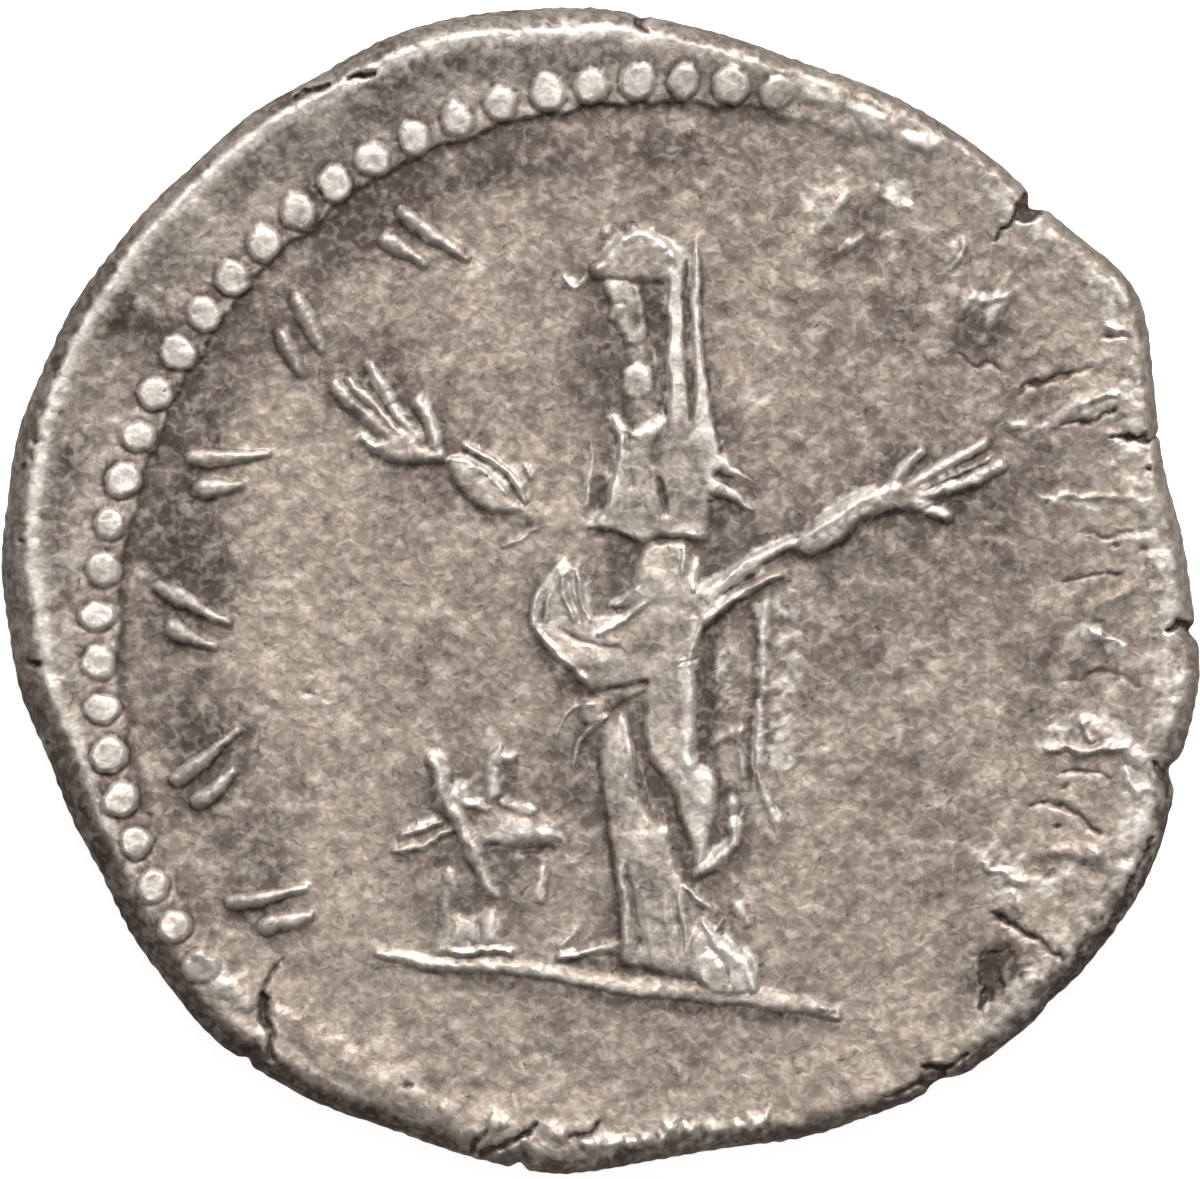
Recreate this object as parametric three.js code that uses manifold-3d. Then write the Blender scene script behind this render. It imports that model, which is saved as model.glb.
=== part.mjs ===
// A hammered silver denarius, lying on its obverse with the reverse face up.
// Millimetres, +Z up, origin under the middle of the flan on the plane that the coin rests on.
// The coin is one solid: an uneven flan, and on each face a design struck by a die.
import * as THREE from "three";
import { mergeVertices } from "three/addons/utils/BufferGeometryUtils.js";
import Module from "manifold-3d";

const wasm = await Module();
wasm.setup();

// Driving dimensions of the flan.
const FLAN_RADIUS = 9.4;
const FLAN_SEGMENTS = 90;
const OBVERSE_FIELD = 0.24;
const REVERSE_FIELD = 1.3;
const RIM_WIDTH = 0.9;
const RIM_RISE = 0.22;
const EDGE_BAND = 0.3;

// The reverse die landed off the middle of the flan, down and to the right.
const DIE_SHIFT = new THREE.Vector2(0.93, -0.84);
const FIGURE_RELIEF = 0.3;
const DRAPE_RELIEF = 0.24;
const LINE_RELIEF = 0.15;

// Border of beads and ring of inscription strokes, measured from the middle of a die.
const BORDER = { count: 76, phase: 2.1, from: 58, to: 216, radius: 8.95, beadRadius: 0.29, height: 0.17 };
const STROKES = { radius: 7.45, length: 1.25, short: 0.8, gap: 0.52, width: 0.28, slant: 24 };

const degrees = (angle) => (angle * Math.PI) / 180;
const vector = ([x, y]) => new THREE.Vector2(x, y);
const polar = (angle, radius) => new THREE.Vector2(Math.cos(angle), Math.sin(angle)).multiplyScalar(radius);

// How far round the flan two angles lie apart, in degrees from 0 to 180.
function turnBetween(first, second) {
  const turn = Math.abs(first - second) % 360;
  return Math.min(turn, 360 - turn);
}

// Sum of smooth swells round the flan, each [angle, half width, rise] in degrees and millimetres.
function swells(list, angle) {
  const bell = (turn, halfWidth) => Math.exp(-((turn / halfWidth) ** 2));
  return list.reduce((sum, [at, halfWidth, rise]) => sum + rise * bell(turnBetween(angle, at), halfWidth), 0);
}

// Bulges and flats that the hammer left in the outline.
const OUTLINE_SWELLS = [
  [11, 7, -0.14],
  [29, 7, 0.42],
  [71, 17, -0.34],
  [109, 9, 0.07],
  [165, 24, 0.24],
  [205, 14, -0.22],
  [230, 9, 0.1],
  [250, 9, -0.12],
  [280, 9, -0.26],
  [312, 14, 0.34],
  [332, 13, 0.46],
  [351, 9, 0.24],
];
const flanRadius = (angle) => FLAN_RADIUS + swells(OUTLINE_SWELLS, angle);

// The sloping band between the reverse rim and the widest outline, and the rim's rise, round the flan.
const edgeBand = (angle) => EDGE_BAND + swells([[150, 55, 0.2], [255, 28, 0.25], [325, 25, 0.1]], angle);
const rimRise = (angle) => RIM_RISE * (0.55 + 0.45 * Math.cos(degrees(angle - 145)));

// Section through the flan at one angle, from the middle of the obverse to the middle of the reverse.
function flanSection(angle) {
  const radius = flanRadius(angle);
  const crest = radius - edgeBand(angle);
  const rise = rimRise(angle);
  return [
    [0, OBVERSE_FIELD],
    [radius - 1.5, OBVERSE_FIELD],
    [radius - 1.0, 0],
    [radius - 0.6, 0],
    [radius - 0.16, 0.24],
    [radius, 0.55],
    [radius, 0.85],
    [crest + 0.1, REVERSE_FIELD + rise - 0.1],
    [crest - 0.1, REVERSE_FIELD + rise],
    [crest - 0.45 * RIM_WIDTH, REVERSE_FIELD + 0.5 * rise],
    [crest - RIM_WIDTH, REVERSE_FIELD],
    [0, REVERSE_FIELD],
  ];
}
const CREST_POINT = 8;

// Height of the reverse field and rim at a point of the flan.
function reverseLevel(x, y) {
  const angle = THREE.MathUtils.radToDeg(Math.atan2(y, x));
  const section = flanSection(angle).slice(CREST_POINT - 2);
  const radius = Math.min(Math.hypot(x, y), section[0][0]);
  const outer = section.findLastIndex(([at], i) => at >= radius && i < section.length - 1);
  const [[r0, z0], [r1, z1]] = section.slice(outer, outer + 2);
  return THREE.MathUtils.mapLinear(radius, r1, r0, z1, z0);
}

// A closed geometry as a solid that can be joined and cut.
function solidOf(geometry) {
  geometry.deleteAttribute("normal");
  geometry.deleteAttribute("uv");
  const merged = mergeVertices(geometry, 1e-5);
  const vertProperties = merged.attributes.position.array;
  const triVerts = new Uint32Array(merged.index.array);
  return new wasm.Manifold(new wasm.Mesh({ numProp: 3, vertProperties, triVerts }));
}

// A solid as a geometry for drawing.
function geometryOf(solid) {
  const mesh = solid.getMesh();
  const geometry = new THREE.BufferGeometry();
  geometry.setAttribute("position", new THREE.BufferAttribute(mesh.vertProperties, 3));
  geometry.setIndex(new THREE.BufferAttribute(mesh.triVerts, 1));
  return geometry;
}

// Moves each corner of a geometry to where a function of its old place says.
function reshape(geometry, place) {
  const corners = geometry.attributes.position;
  for (let i = 0; i < corners.count; i++) {
    corners.setXYZ(i, ...place(corners.getX(i), corners.getY(i), corners.getZ(i), i));
  }
  return geometry;
}

// The blank flan, turned as on a lathe with a section that changes with the angle.
function flan() {
  const section = flanSection(0).map(vector);
  const blank = new THREE.LatheGeometry(section, FLAN_SEGMENTS);
  return solidOf(
    reshape(blank, (_x, _y, _z, i) => {
      const turn = Math.floor(i / section.length) % FLAN_SEGMENTS;
      const angle = (turn * 360) / FLAN_SEGMENTS;
      const [radius, height] = flanSection(angle)[i % section.length];
      return [...polar(degrees(angle), radius), height];
    }),
  );
}

// The two faces: where a design point lands on the flan, and how it is turned to face outwards.
const REVERSE = {
  shift: DIE_SHIFT,
  level: reverseLevel,
  outward: (geometry) => geometry,
};
const OBVERSE = {
  shift: new THREE.Vector2(0, 0),
  level: () => -OBVERSE_FIELD,
  outward: (geometry) => geometry.rotateY(Math.PI),
};

// Sets a relief, drawn in die coordinates with its height above the field, on a face.
function strike(face, geometry) {
  const struck = reshape(geometry, (x, y, z) => {
    const [flanX, flanY] = [x + face.shift.x, y + face.shift.y];
    return [flanX, flanY, z + face.level(flanX, flanY)];
  });
  return solidOf(face.outward(struck));
}

// A ridge along a smooth line through points, half round in section, with a width at each point.
function ridge(face, points, widths, height, sides = 6, stepsPerSpan = 2) {
  const spans = points.length - 1;
  const line = new THREE.SplineCurve(points.map(vector));
  const bar = new THREE.CylinderGeometry(1, 1, 1, sides, spans > 1 ? stepsPerSpan * spans : 1);
  bar.rotateY(Math.PI / sides + Math.PI / 2);
  return strike(
    face,
    reshape(bar, (across, along, up) => {
      const t = along + 0.5;
      const span = Math.min(Math.floor(t * spans), spans - 1);
      const halfWidth = THREE.MathUtils.lerp(widths[span], widths[span + 1], t * spans - span) / 2;
      const ahead = line.getTangent(t);
      const at = line.getPoint(t);
      return [at.x + ahead.y * across * halfWidth, at.y - ahead.x * across * halfWidth, up * height];
    }),
  );
}

// A smooth mound: half of a flattened ball, turned in the plane of the face.
function mound(face, [x, y], [halfWidth, halfHeight], rise, turn = 0, sides = 8) {
  const ball = new THREE.SphereGeometry(1, sides, Math.max(4, sides / 2));
  ball.rotateX(Math.PI / 2);
  ball.scale(halfWidth, halfHeight, rise);
  ball.rotateZ(degrees(turn));
  return strike(face, ball.translate(x, y, 0));
}

// Beads of a border ring, only where it falls on the flan, and worn down towards the first of them.
function borderBeads(face, { count, phase, from, to, radius, beadRadius, height }) {
  const beads = [];
  for (let i = 0; i < count; i++) {
    const angle = phase + (i * 360) / count;
    if (angle < from || angle > to) continue;
    const spot = polar(degrees(angle), radius);
    const wear = 0.6 * swells([[from, 25, 1]], angle);
    beads.push(mound(face, spot.toArray(), [beadRadius, beadRadius], height * (1 - wear), angle, 6));
  }
  return beads;
}

// A row of inscription strokes round the die: slanted pairs, one long and one short, that spell nothing.
function strokeRow(face, firstAngle, lastAngle, count, height) {
  const strokes = [];
  for (let i = 0; i < count; i++) {
    const angle = THREE.MathUtils.lerp(firstAngle, lastAngle, i / (count - 1));
    const lean = angle + (i % 2 ? STROKES.slant : -STROKES.slant);
    for (const [length, side] of [[STROKES.length, -0.5], [STROKES.short, 0.5]]) {
      const middle = polar(degrees(angle), STROKES.radius);
      middle.add(polar(degrees(angle + 90), side * STROKES.gap));
      const half = polar(degrees(lean), length / 2);
      const ends = [middle.clone().sub(half), middle, middle.clone().add(half)];
      const flare = [STROKES.width, 0.7 * STROKES.width, STROKES.width];
      strokes.push(ridge(face, ends.map((end) => end.toArray()), flare, height, 6, 1));
    }
  }
  return strokes;
}

// A raised hand: a palm from wrist to heel, and fingers fanned out between two knuckles.
function hand({ palm, palmWidths, knuckles, tips, thumb, width }) {
  const [first, last] = knuckles.map(vector);
  const fingers = tips.map((tip, i) => {
    const knuckle = first.clone().lerp(last, i / (tips.length - 1));
    return ridge(REVERSE, [knuckle.toArray(), tip], [width, 0.8 * width], DRAPE_RELIEF);
  });
  return [
    ridge(REVERSE, palm, palmWidths, DRAPE_RELIEF),
    ridge(REVERSE, thumb, [width, 0.8 * width], DRAPE_RELIEF),
    ...fingers,
  ];
}

const LEFT_HAND = {
  palm: [[-3.42, 2.98], [-4.05, 3.02], [-4.7, 3.24]],
  palmWidths: [0.3, 0.44, 0.22],
  knuckles: [[-4.3, 3.36], [-3.56, 3.16]],
  tips: [[-5.18, 4.12], [-4.9, 4.2], [-4.58, 4.36], [-3.8, 3.88]],
  thumb: [[-4.3, 3.1], [-4.78, 3.3]],
  width: 0.17,
};
const RIGHT_HAND = {
  palm: [[3.5, 2.38], [3.95, 2.43], [4.25, 2.4]],
  palmWidths: [0.3, 0.42, 0.3],
  knuckles: [[4.0, 2.56], [4.12, 2.3]],
  tips: [[5.18, 3.14], [4.92, 2.75], [5.42, 2.77], [4.58, 2.02]],
  thumb: [[3.8, 2.58], [4.16, 3.02]],
  width: 0.17,
};

// Head in profile to the left, on plain proportions: skull, face, nose, chin and neck, under a veil.
function head() {
  const skull = [-0.24, 5.82];
  const [skullWidth, skullHeight] = [0.56, 0.6];
  const faceHeight = 1.05;
  const brow = [skull[0] - 0.34, skull[1] - 0.12];
  const chin = [brow[0] + 0.06, brow[1] - faceHeight * 0.68];
  const noseTip = [brow[0] - 0.2, brow[1] - faceHeight * 0.34];
  return [
    mound(REVERSE, skull, [skullWidth, skullHeight], FIGURE_RELIEF),
    mound(REVERSE, [-0.5, 5.36], [0.32, faceHeight / 2], DRAPE_RELIEF, 8),
    ridge(REVERSE, [brow, noseTip], [0.1, 0.2], LINE_RELIEF),
    mound(REVERSE, chin, [0.15, 0.14], LINE_RELIEF, 0, 8),
    ridge(REVERSE, [[-0.3, 5.0], [-0.24, 4.3], [-0.2, 3.5]], [0.4, 0.42, 0.62], DRAPE_RELIEF),
  ];
}

// Veil over the hair, falling behind the shoulder in two long folds that flare over the arm.
function veil() {
  const flareEnds = [[1.54, 2.5], [1.52, 2.24], [1.44, 1.98]];
  const flares = flareEnds.map((end, i) => {
    return ridge(REVERSE, [[0.8, 3.05 - 0.28 * i], end], [0.3, 0.1], DRAPE_RELIEF);
  });
  return [
    ridge(REVERSE, [[-0.86, 6.1], [-0.42, 6.52], [0.1, 6.44], [0.3, 5.95]], [0.16, 0.24, 0.28, 0.24], FIGURE_RELIEF),
    ridge(REVERSE, [[0.27, 6.05], [0.28, 4.7], [0.4, 3.3]], [0.18, 0.2, 0.34], DRAPE_RELIEF),
    ridge(REVERSE, [[0.58, 6.1], [0.62, 4.7], [0.82, 3.4], [0.96, 2.9]], [0.14, 0.16, 0.22, 0.3], DRAPE_RELIEF),
    ...flares,
  ];
}

// Tunic: the chest with its neckline, the belted overfold and the sleeve folds on the left.
function tunic() {
  return [
    ridge(REVERSE, [[-0.16, 3.5], [0.1, 2.75], [-0.05, 1.72]], [0.85, 1.65, 1.9], FIGURE_RELIEF, 10),
    ridge(REVERSE, [[-0.72, 3.58], [-0.36, 3.34], [0.08, 3.58]], [0.14, 0.2, 0.14], FIGURE_RELIEF + 0.04),
    ridge(REVERSE, [[-1.12, 1.86], [-0.25, 1.68], [0.75, 1.64]], [0.16, 0.2, 0.12], FIGURE_RELIEF),
    ridge(REVERSE, [[-0.98, 3.2], [-1.1, 2.3]], [0.1, 0.14], LINE_RELIEF),
  ];
}

// Mantle: the swag hung from the left arm across the hips, with its curved folds and loose tail.
function mantle() {
  const folds = [];
  const foldCount = 3;
  for (let i = 0; i < foldCount; i++) {
    const inset = i * 0.26;
    folds.push(
      ridge(
        REVERSE,
        [[-1.58 + inset, 1.3 - 0.1 * i], [-1.98 + inset, 0.45], [-1.62 + inset, -0.42 + inset], [-0.7, -0.66 + 1.4 * inset]],
        [0.12, 0.2, 0.22, 0.18],
        DRAPE_RELIEF + 0.04,
      ),
    );
  }
  const tails = [[-1.6, -1.42], [-1.34, -1.8]].map((end, i) => {
    return ridge(REVERSE, [[-0.9 + 0.1 * i, -0.9 - 0.2 * i], end], [0.26, 0.12], LINE_RELIEF);
  });
  return [
    ridge(REVERSE, [[0.1, 1.6], [0.18, 0.7], [0.12, -0.6]], [1.05, 1.15, 1.0], DRAPE_RELIEF, 10),
    ridge(REVERSE, [[-1.6, 0.7], [-1.2, -0.2], [-0.3, -0.3], [0.8, 0.55]], [0.6, 0.9, 0.9, 0.6], DRAPE_RELIEF, 8),
    ...folds,
    ...tails,
  ];
}

// Skirt: the straight leg and the bent leg under long folds, the hem, and the foot.
function skirt() {
  return [
    ridge(REVERSE, [[-0.6, -0.85], [-0.58, -2.1], [-0.36, -3.5], [0.05, -5.5]], [0.7, 0.66, 0.98, 1.3], DRAPE_RELIEF, 10),
    ridge(REVERSE, [[0.16, -0.6], [0.16, -1.7], [0.48, -2.6], [0.74, -3.7]], [0.72, 0.76, 0.82, 0.24], DRAPE_RELIEF, 10),
    ridge(REVERSE, [[-0.5, -1.0], [-0.3, -2.1], [-0.1, -3.1]], [0.12, 0.14, 0.1], FIGURE_RELIEF),
    ridge(REVERSE, [[-0.62, -3.3], [-0.56, -5.1]], [0.18, 0.22], FIGURE_RELIEF),
    ridge(REVERSE, [[0.2, -3.4], [0.46, -4.0], [0.92, -4.34]], [0.16, 0.2, 0.12], FIGURE_RELIEF),
    ridge(REVERSE, [[0.74, -3.66], [1.16, -3.24], [1.26, -2.6]], [0.16, 0.2, 0.16], DRAPE_RELIEF),
    ridge(REVERSE, [[0.62, -4.5], [1.2, -5.05], [1.56, -5.5]], [0.36, 0.4, 0.3], FIGURE_RELIEF),
  ];
}

// The end of the mantle that hangs straight down from the right arm.
function hangingEnd() {
  return [
    ridge(REVERSE, [[1.66, 0.62], [1.63, -0.6], [1.58, -1.95], [1.9, -2.85]], [0.14, 0.15, 0.16, 0.12], LINE_RELIEF),
    ridge(REVERSE, [[0.68, -1.74], [1.04, -1.48], [1.36, -1.26]], [0.18, 0.18, 0.12], LINE_RELIEF),
  ];
}

// Both arms held out from the elbow, the left in its sleeve and the right bare below the drape.
function arms() {
  return [
    ridge(REVERSE, [[-3.34, 2.9], [-2.74, 2.58], [-2.08, 2.06]], [0.24, 0.62, 0.34], DRAPE_RELIEF, 8),
    ridge(REVERSE, [[-3.06, 3.12], [-2.5, 2.8], [-2.1, 2.16]], [0.1, 0.14, 0.1], DRAPE_RELIEF),
    ridge(REVERSE, [[-2.1, 2.02], [-1.12, 1.94]], [0.26, 0.26], 0.1),
    ridge(REVERSE, [[0.62, 0.62], [1.4, 1.12], [2.1, 1.56]], [0.6, 0.4, 0.34], FIGURE_RELIEF, 8),
    ridge(REVERSE, [[2.0, 1.48], [2.75, 1.94], [3.56, 2.4]], [0.46, 0.44, 0.28], FIGURE_RELIEF, 8),
    ...hand(LEFT_HAND),
    ...hand(RIGHT_HAND),
  ];
}

// Small altar at the feet: cornice, posts, base and flame, with a leaning branch in front.
function altar() {
  const bars = [
    [[-2.8, -3.06], [-1.56, -3.08], 0.42],
    [[-3.36, -3.74], [-3.44, -4.82], 0.17],
    [[-1.79, -3.66], [-1.87, -4.08], 0.16],
    [[-3.25, -4.88], [-2.3, -4.93], 0.16],
    [[-1.65, -4.96], [-0.7, -4.85], 0.16],
    [[-3.06, -2.61], [-2.68, -2.66], 0.14],
    [[-2.43, -2.53], [-1.9, -2.66], 0.14],
    [[-4.0, -3.04], [-3.5, -2.82], 0.16],
    [[-4.05, -3.38], [-3.4, -3.06], 0.16],
  ];
  const lumps = [-3.09, -2.78, -2.52].map((x) => mound(REVERSE, [x, -4.64], [0.11, 0.24], LINE_RELIEF, 0, 6));
  return [
    ridge(REVERSE, [[-3.52, -2.04], [-3.1, -3.0], [-2.94, -3.66], [-2.54, -4.06]], [0.24, 0.3, 0.28, 0.12], DRAPE_RELIEF),
    ridge(REVERSE, [[-2.46, -1.66], [-2.74, -1.98], [-2.54, -2.44]], [0.12, 0.18, 0.14], LINE_RELIEF),
    ...bars.map(([from, to, width]) => ridge(REVERSE, [from, to], [width, width], LINE_RELIEF)),
    ...lumps,
  ];
}

// The line that the figure and the altar stand on.
function groundLine() {
  const points = [[-4.5, -4.99], [-2.4, -5.25], [-0.3, -5.63], [1.7, -5.8], [2.85, -5.98]];
  return [ridge(REVERSE, points, [0.2, 0.24, 0.24, 0.24, 0.12], LINE_RELIEF)];
}

// Obverse: a plain draped bust in profile to the right, worn flat on the cheek where the coin rests.
const BUST = { hair: 0.25, face: 0.22, drape: 0.19, feature: 0.15 };

// Hair waves swept back from the hairline, over the skull, to a knot.
function hair() {
  const knot = [-3.2, 1.0];
  const waveCount = 6;
  const waves = [];
  for (let i = 0; i < waveCount; i++) {
    const t = i / (waveCount - 1);
    const hairline = [THREE.MathUtils.lerp(1.75, 0.0, t), THREE.MathUtils.lerp(3.9, 1.5, t)];
    const over = [THREE.MathUtils.lerp(-0.7, -1.2, t), THREE.MathUtils.lerp(4.75, 1.4, t)];
    const back = [THREE.MathUtils.lerp(-2.7, -2.2, t), THREE.MathUtils.lerp(3.1, 1.1, t)];
    waves.push(ridge(OBVERSE, [hairline, over, back, knot], [0.4, 0.66, 0.5, 0.3], BUST.hair, 6, 1));
  }
  return [
    mound(OBVERSE, [-0.7, 2.4], [2.5, 2.5], BUST.face, 0, 12),
    mound(OBVERSE, knot, [0.85, 0.95], BUST.face),
    ...waves,
  ];
}

// Face on plain proportions: hairline, brow, nose and chin stand one third of the face apart.
function profile() {
  const third = 1.5;
  const chin = [1.6, -0.7];
  const brow = [1.95, chin[1] + 2 * third];
  const noseTip = [brow[0] + 0.55, chin[1] + third + 0.2];
  const lips = [-0.17, 0.17].map((rise) => [1.95, chin[1] + 0.6 * third + rise]);
  return [
    mound(OBVERSE, [0.75, 1.4], [1.5, 2.4], BUST.face, -4, 12),
    mound(OBVERSE, [0.4, 0.6], [1.85, 2.0], OBVERSE_FIELD + 0.03, 0, 12),
    ridge(OBVERSE, [[-0.7, 0.9], [0.3, -0.45], chin], [1.2, 1.2, 0.8], BUST.drape, 8),
    mound(OBVERSE, chin, [0.5, 0.45], BUST.drape),
    ridge(OBVERSE, [brow, noseTip], [0.4, 0.75], BUST.feature),
    ridge(OBVERSE, [brow, [1.0, brow[1] + 0.1]], [0.3, 0.24], BUST.hair),
    ...lips.map((lip) => mound(OBVERSE, lip, [0.4, 0.18], BUST.feature, 0, 8)),
    mound(OBVERSE, [-0.4, 1.25], [0.34, 0.6], BUST.hair + 0.02, 12, 8),
  ];
}

// Neck and shoulders, with a mantle in curved folds below.
function shoulders() {
  const folds = [];
  const foldCount = 4;
  for (let i = 0; i < foldCount; i++) {
    const line = [[-3.6 + 0.35 * i, -4.3 - 0.5 * i], [-0.3, -4.9 - 0.5 * i], [2.6 - 0.2 * i, -4.0 - 0.55 * i]];
    folds.push(ridge(OBVERSE, line, [0.24, 0.4, 0.24], BUST.hair));
  }
  return [
    ridge(OBVERSE, [[-0.5, 0.2], [-0.6, -2.2], [-0.7, -4.4]], [2.2, 2.1, 3.0], BUST.drape, 10),
    ridge(OBVERSE, [[-4.0, -5.5], [-0.6, -5.2], [2.9, -5.2]], [0.9, 2.2, 0.9], BUST.drape, 8),
    ...folds,
  ];
}

// Splits in the edge from the hammer, each [angle, depth, width], and a corrosion pit.
const EDGE_SPLITS = [
  [41.5, 0.75, 0.22],
  [86, 0.5, 0.16],
  [233, 0.9, 0.2],
  [263, 0.7, 0.18],
  [15, 0.7, 0.07],
  [356, 0.45, 0.22],
  [342.5, 0.4, 0.3],
  [303.5, 0.4, 0.34],
];
function edgeSplit([angle, depth, width]) {
  const wedge = new THREE.CylinderGeometry(1, 1, 2 * REVERSE_FIELD + 2, 4);
  wedge.rotateX(Math.PI / 2);
  wedge.scale(depth, width / 2, 1);
  wedge.translate(flanRadius(angle), 0, REVERSE_FIELD / 2);
  return solidOf(wedge.rotateZ(degrees(angle)));
}
const PIT = { place: [5.3, -5.25], size: [0.24, 0.36], depth: 0.3 };
const corrosionPit = () => mound(REVERSE, PIT.place, PIT.size, PIT.depth, -20, 8);

function coin() {
  const reliefs = [
    ...borderBeads(REVERSE, BORDER),
    ...strokeRow(REVERSE, 215, 121, 6, LINE_RELIEF),
    ...strokeRow(REVERSE, 65, -29, 6, 0.6 * LINE_RELIEF),
    ...groundLine(),
    ...altar(),
    ...skirt(),
    ...hangingEnd(),
    ...mantle(),
    ...tunic(),
    ...arms(),
    ...veil(),
    ...head(),
    ...shoulders(),
    ...profile(),
    ...hair(),
    ...strokeRow(OBVERSE, 225, 105, 6, OBVERSE_FIELD - 0.08),
    ...strokeRow(OBVERSE, 75, -45, 6, OBVERSE_FIELD - 0.08),
  ];
  const table = new THREE.BoxGeometry(4 * FLAN_RADIUS, 4 * FLAN_RADIUS, 2).translate(0, 0, -1);
  const cuts = [...EDGE_SPLITS.map(edgeSplit), corrosionPit(), solidOf(table)];
  const struck = reliefs.reduce((whole, relief) => whole.add(relief), flan());
  return cuts.reduce((whole, cut) => whole.subtract(cut), struck).simplify(0.012);
}

const silver = new THREE.MeshStandardMaterial({ color: 0xa3968b, roughness: 0.45, metalness: 0.9 });
const coinMesh = new THREE.Mesh(geometryOf(coin()), silver);
coinMesh.name = "coin";

const denarius = new THREE.Group();
denarius.add(coinMesh);
export default denarius;
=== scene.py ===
"""A worn hammered silver denarius, struck in fine relief over its solid, on a copy-stand stage."""

import math
from collections import namedtuple
from functools import partial

import bpy
import numpy as np
from bpy.props import FloatProperty, FloatVectorProperty, IntProperty, PointerProperty
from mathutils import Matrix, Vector
from mathutils.bvhtree import BVHTree


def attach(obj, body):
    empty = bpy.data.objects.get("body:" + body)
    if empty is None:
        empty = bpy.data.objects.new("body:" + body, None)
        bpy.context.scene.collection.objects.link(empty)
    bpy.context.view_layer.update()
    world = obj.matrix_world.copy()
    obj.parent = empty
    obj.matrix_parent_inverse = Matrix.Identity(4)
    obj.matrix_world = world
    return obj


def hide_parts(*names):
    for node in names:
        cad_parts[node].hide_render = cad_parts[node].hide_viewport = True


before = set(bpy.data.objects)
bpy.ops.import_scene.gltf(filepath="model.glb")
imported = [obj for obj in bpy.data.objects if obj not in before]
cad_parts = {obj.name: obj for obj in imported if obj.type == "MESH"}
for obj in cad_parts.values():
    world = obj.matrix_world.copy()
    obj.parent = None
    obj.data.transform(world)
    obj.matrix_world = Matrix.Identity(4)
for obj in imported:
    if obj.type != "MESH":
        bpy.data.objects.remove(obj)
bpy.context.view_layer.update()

bl_info = {
    "name": "Hammered denarius",
    "version": (1, 0, 0),
    "blender": (4, 5, 0),
    "location": "View3D > Sidebar > Denarius",
    "description": "Strikes a worn silver denarius with a raised figure, beads and toning",
    "category": "Object",
}

# Lengths are in millimetres on the coin and in metres in Blender.
MM = 0.001

# The height maps of both faces lie on one square grid over the flan.
CELL = 0.016
GRID_COLUMNS = 1221
GRID_ROWS = 1201
GRID_LOW = np.array([-(GRID_COLUMNS - 1) / 2, -(GRID_ROWS - 1) / 2]) * CELL

# Bulges and flats of the outline, each (angle, half width, rise) in degrees and millimetres.
OUTLINE_SWELLS = (
    (11, 7, -0.14),
    (29, 7, 0.42),
    (71, 17, -0.34),
    (109, 9, 0.07),
    (165, 24, 0.24),
    (205, 14, -0.22),
    (230, 9, 0.1),
    (250, 9, -0.12),
    (280, 9, -0.26),
    (312, 14, 0.34),
    (332, 13, 0.46),
    (351, 9, 0.24),
)
# Sloping band between the reverse rim's crest and the outline: its least width and its swells.
BAND_WIDTH = 0.26
BAND_SWELLS = (
    (187, 24, 0.27),
    (100, 24, 0.14),
    (145, 20, 0.06),
    (218, 16, 0.12),
    (255, 28, 0.22),
    (325, 25, 0.19),
)
# Angle at which the rim stands highest, and its mean share of that height and the swing about it.
RIM_TOWARDS = 145
RIM_MEAN = 0.55
RIM_SWING = 0.45
# Dips where the edge split, each (angle, depth, half width) in degrees and millimetres.
EDGE_SPLITS = (
    (41.6, 0.19, 0.15),
    (86, 0.05, 0.12),
    (233, 0.08, 0.1),
    (262, 0.1, 0.12),
    (15.5, 0.05, 0.05),
    (356, 0.12, 0.13),
    (342.5, 0.16, 0.2),
    (304.5, 0.14, 0.25),
    (318, 0.06, 0.3),
)
# Height of the widest outline above the table, and the rings of the edge on each side of it.
EQUATOR = 0.72
EDGE_STEPS = 18
# Cells along one side of the reverse's grid of points.
FACE_CELLS = 660
# Obverse: the depth of its field, the width of its rounded edge, the insets between which its rim
# slopes down to the field, and its die's place.
OBVERSE_DEPTH = 0.24
OBVERSE_EDGE = 0.6
OBVERSE_RIM = (1.0, 1.5)
OBVERSE_SHIFT = (-0.3, 0.2)

# Rows of strokes, each (first angle, last angle), the radii that they lie between, and their pairs.
LEFT_ROW = (215, 121)
RIGHT_ROW = (65, -29)
OBVERSE_ROWS = ((225, 105), (75, -45))
ROW_RADII = (6.5, 8.4)
ROW_PAIRS = 6
PAIR_GAP = 0.52
PAIR_SLANT = 24
SHORT_SHARE = 0.64
# The raised hand: its angle and half angle, and the radii between which strokes beside it end.
HAND_ANGLE = 138
HAND_HALF_ANGLE = 12
HAND_RADII = (6.95, 7.15)

# Ring of beads: the radii that it lies between, its turn, and where it fades in and out.
RING_RADII = (8.5, 9.4)
RING_PHASE = 2.1
RING_FADES_IN = (73, 82)
RING_FADES_OUT = (214, 219)
BEAD_OVAL = (0.52, 0.48)
BEAD_SPREAD = 0.07
# The shelf under the beads: the radii of its ragged step, and where it stands round the die.
SHELF_RADII = (8.6, 8.68)
SHELF_SWELLS = ((100, 22, 1), (160, 50, 0.9))

# Unevenness of the struck metal, each (seed, depth, reach of its blots).
GRAIN = ((30, 0.004, 0.04), (31, 0.004, 0.09), (32, 0.004, 0.3), (33, 0.01, 1.2))

# Finish of the rim round the flan: polished, crumbled, dull outside, and painted shade on the walls below.
POLISHED_SWELLS = ((105, 26, 1.0), (160, 42, 0.9))
CRUMBLED_SWELLS = ((34, 38, 1), (350, 22, 1), (272, 13, 1.2), (325, 20, 0.8))
DULL_SWELLS = ((140, 75, 1),)
SHADED_WALL_SWELLS = ((318, 26, 1), (240, 26, 0.8), (280, 20, 0.5), (212, 18, 0.6))

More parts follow.
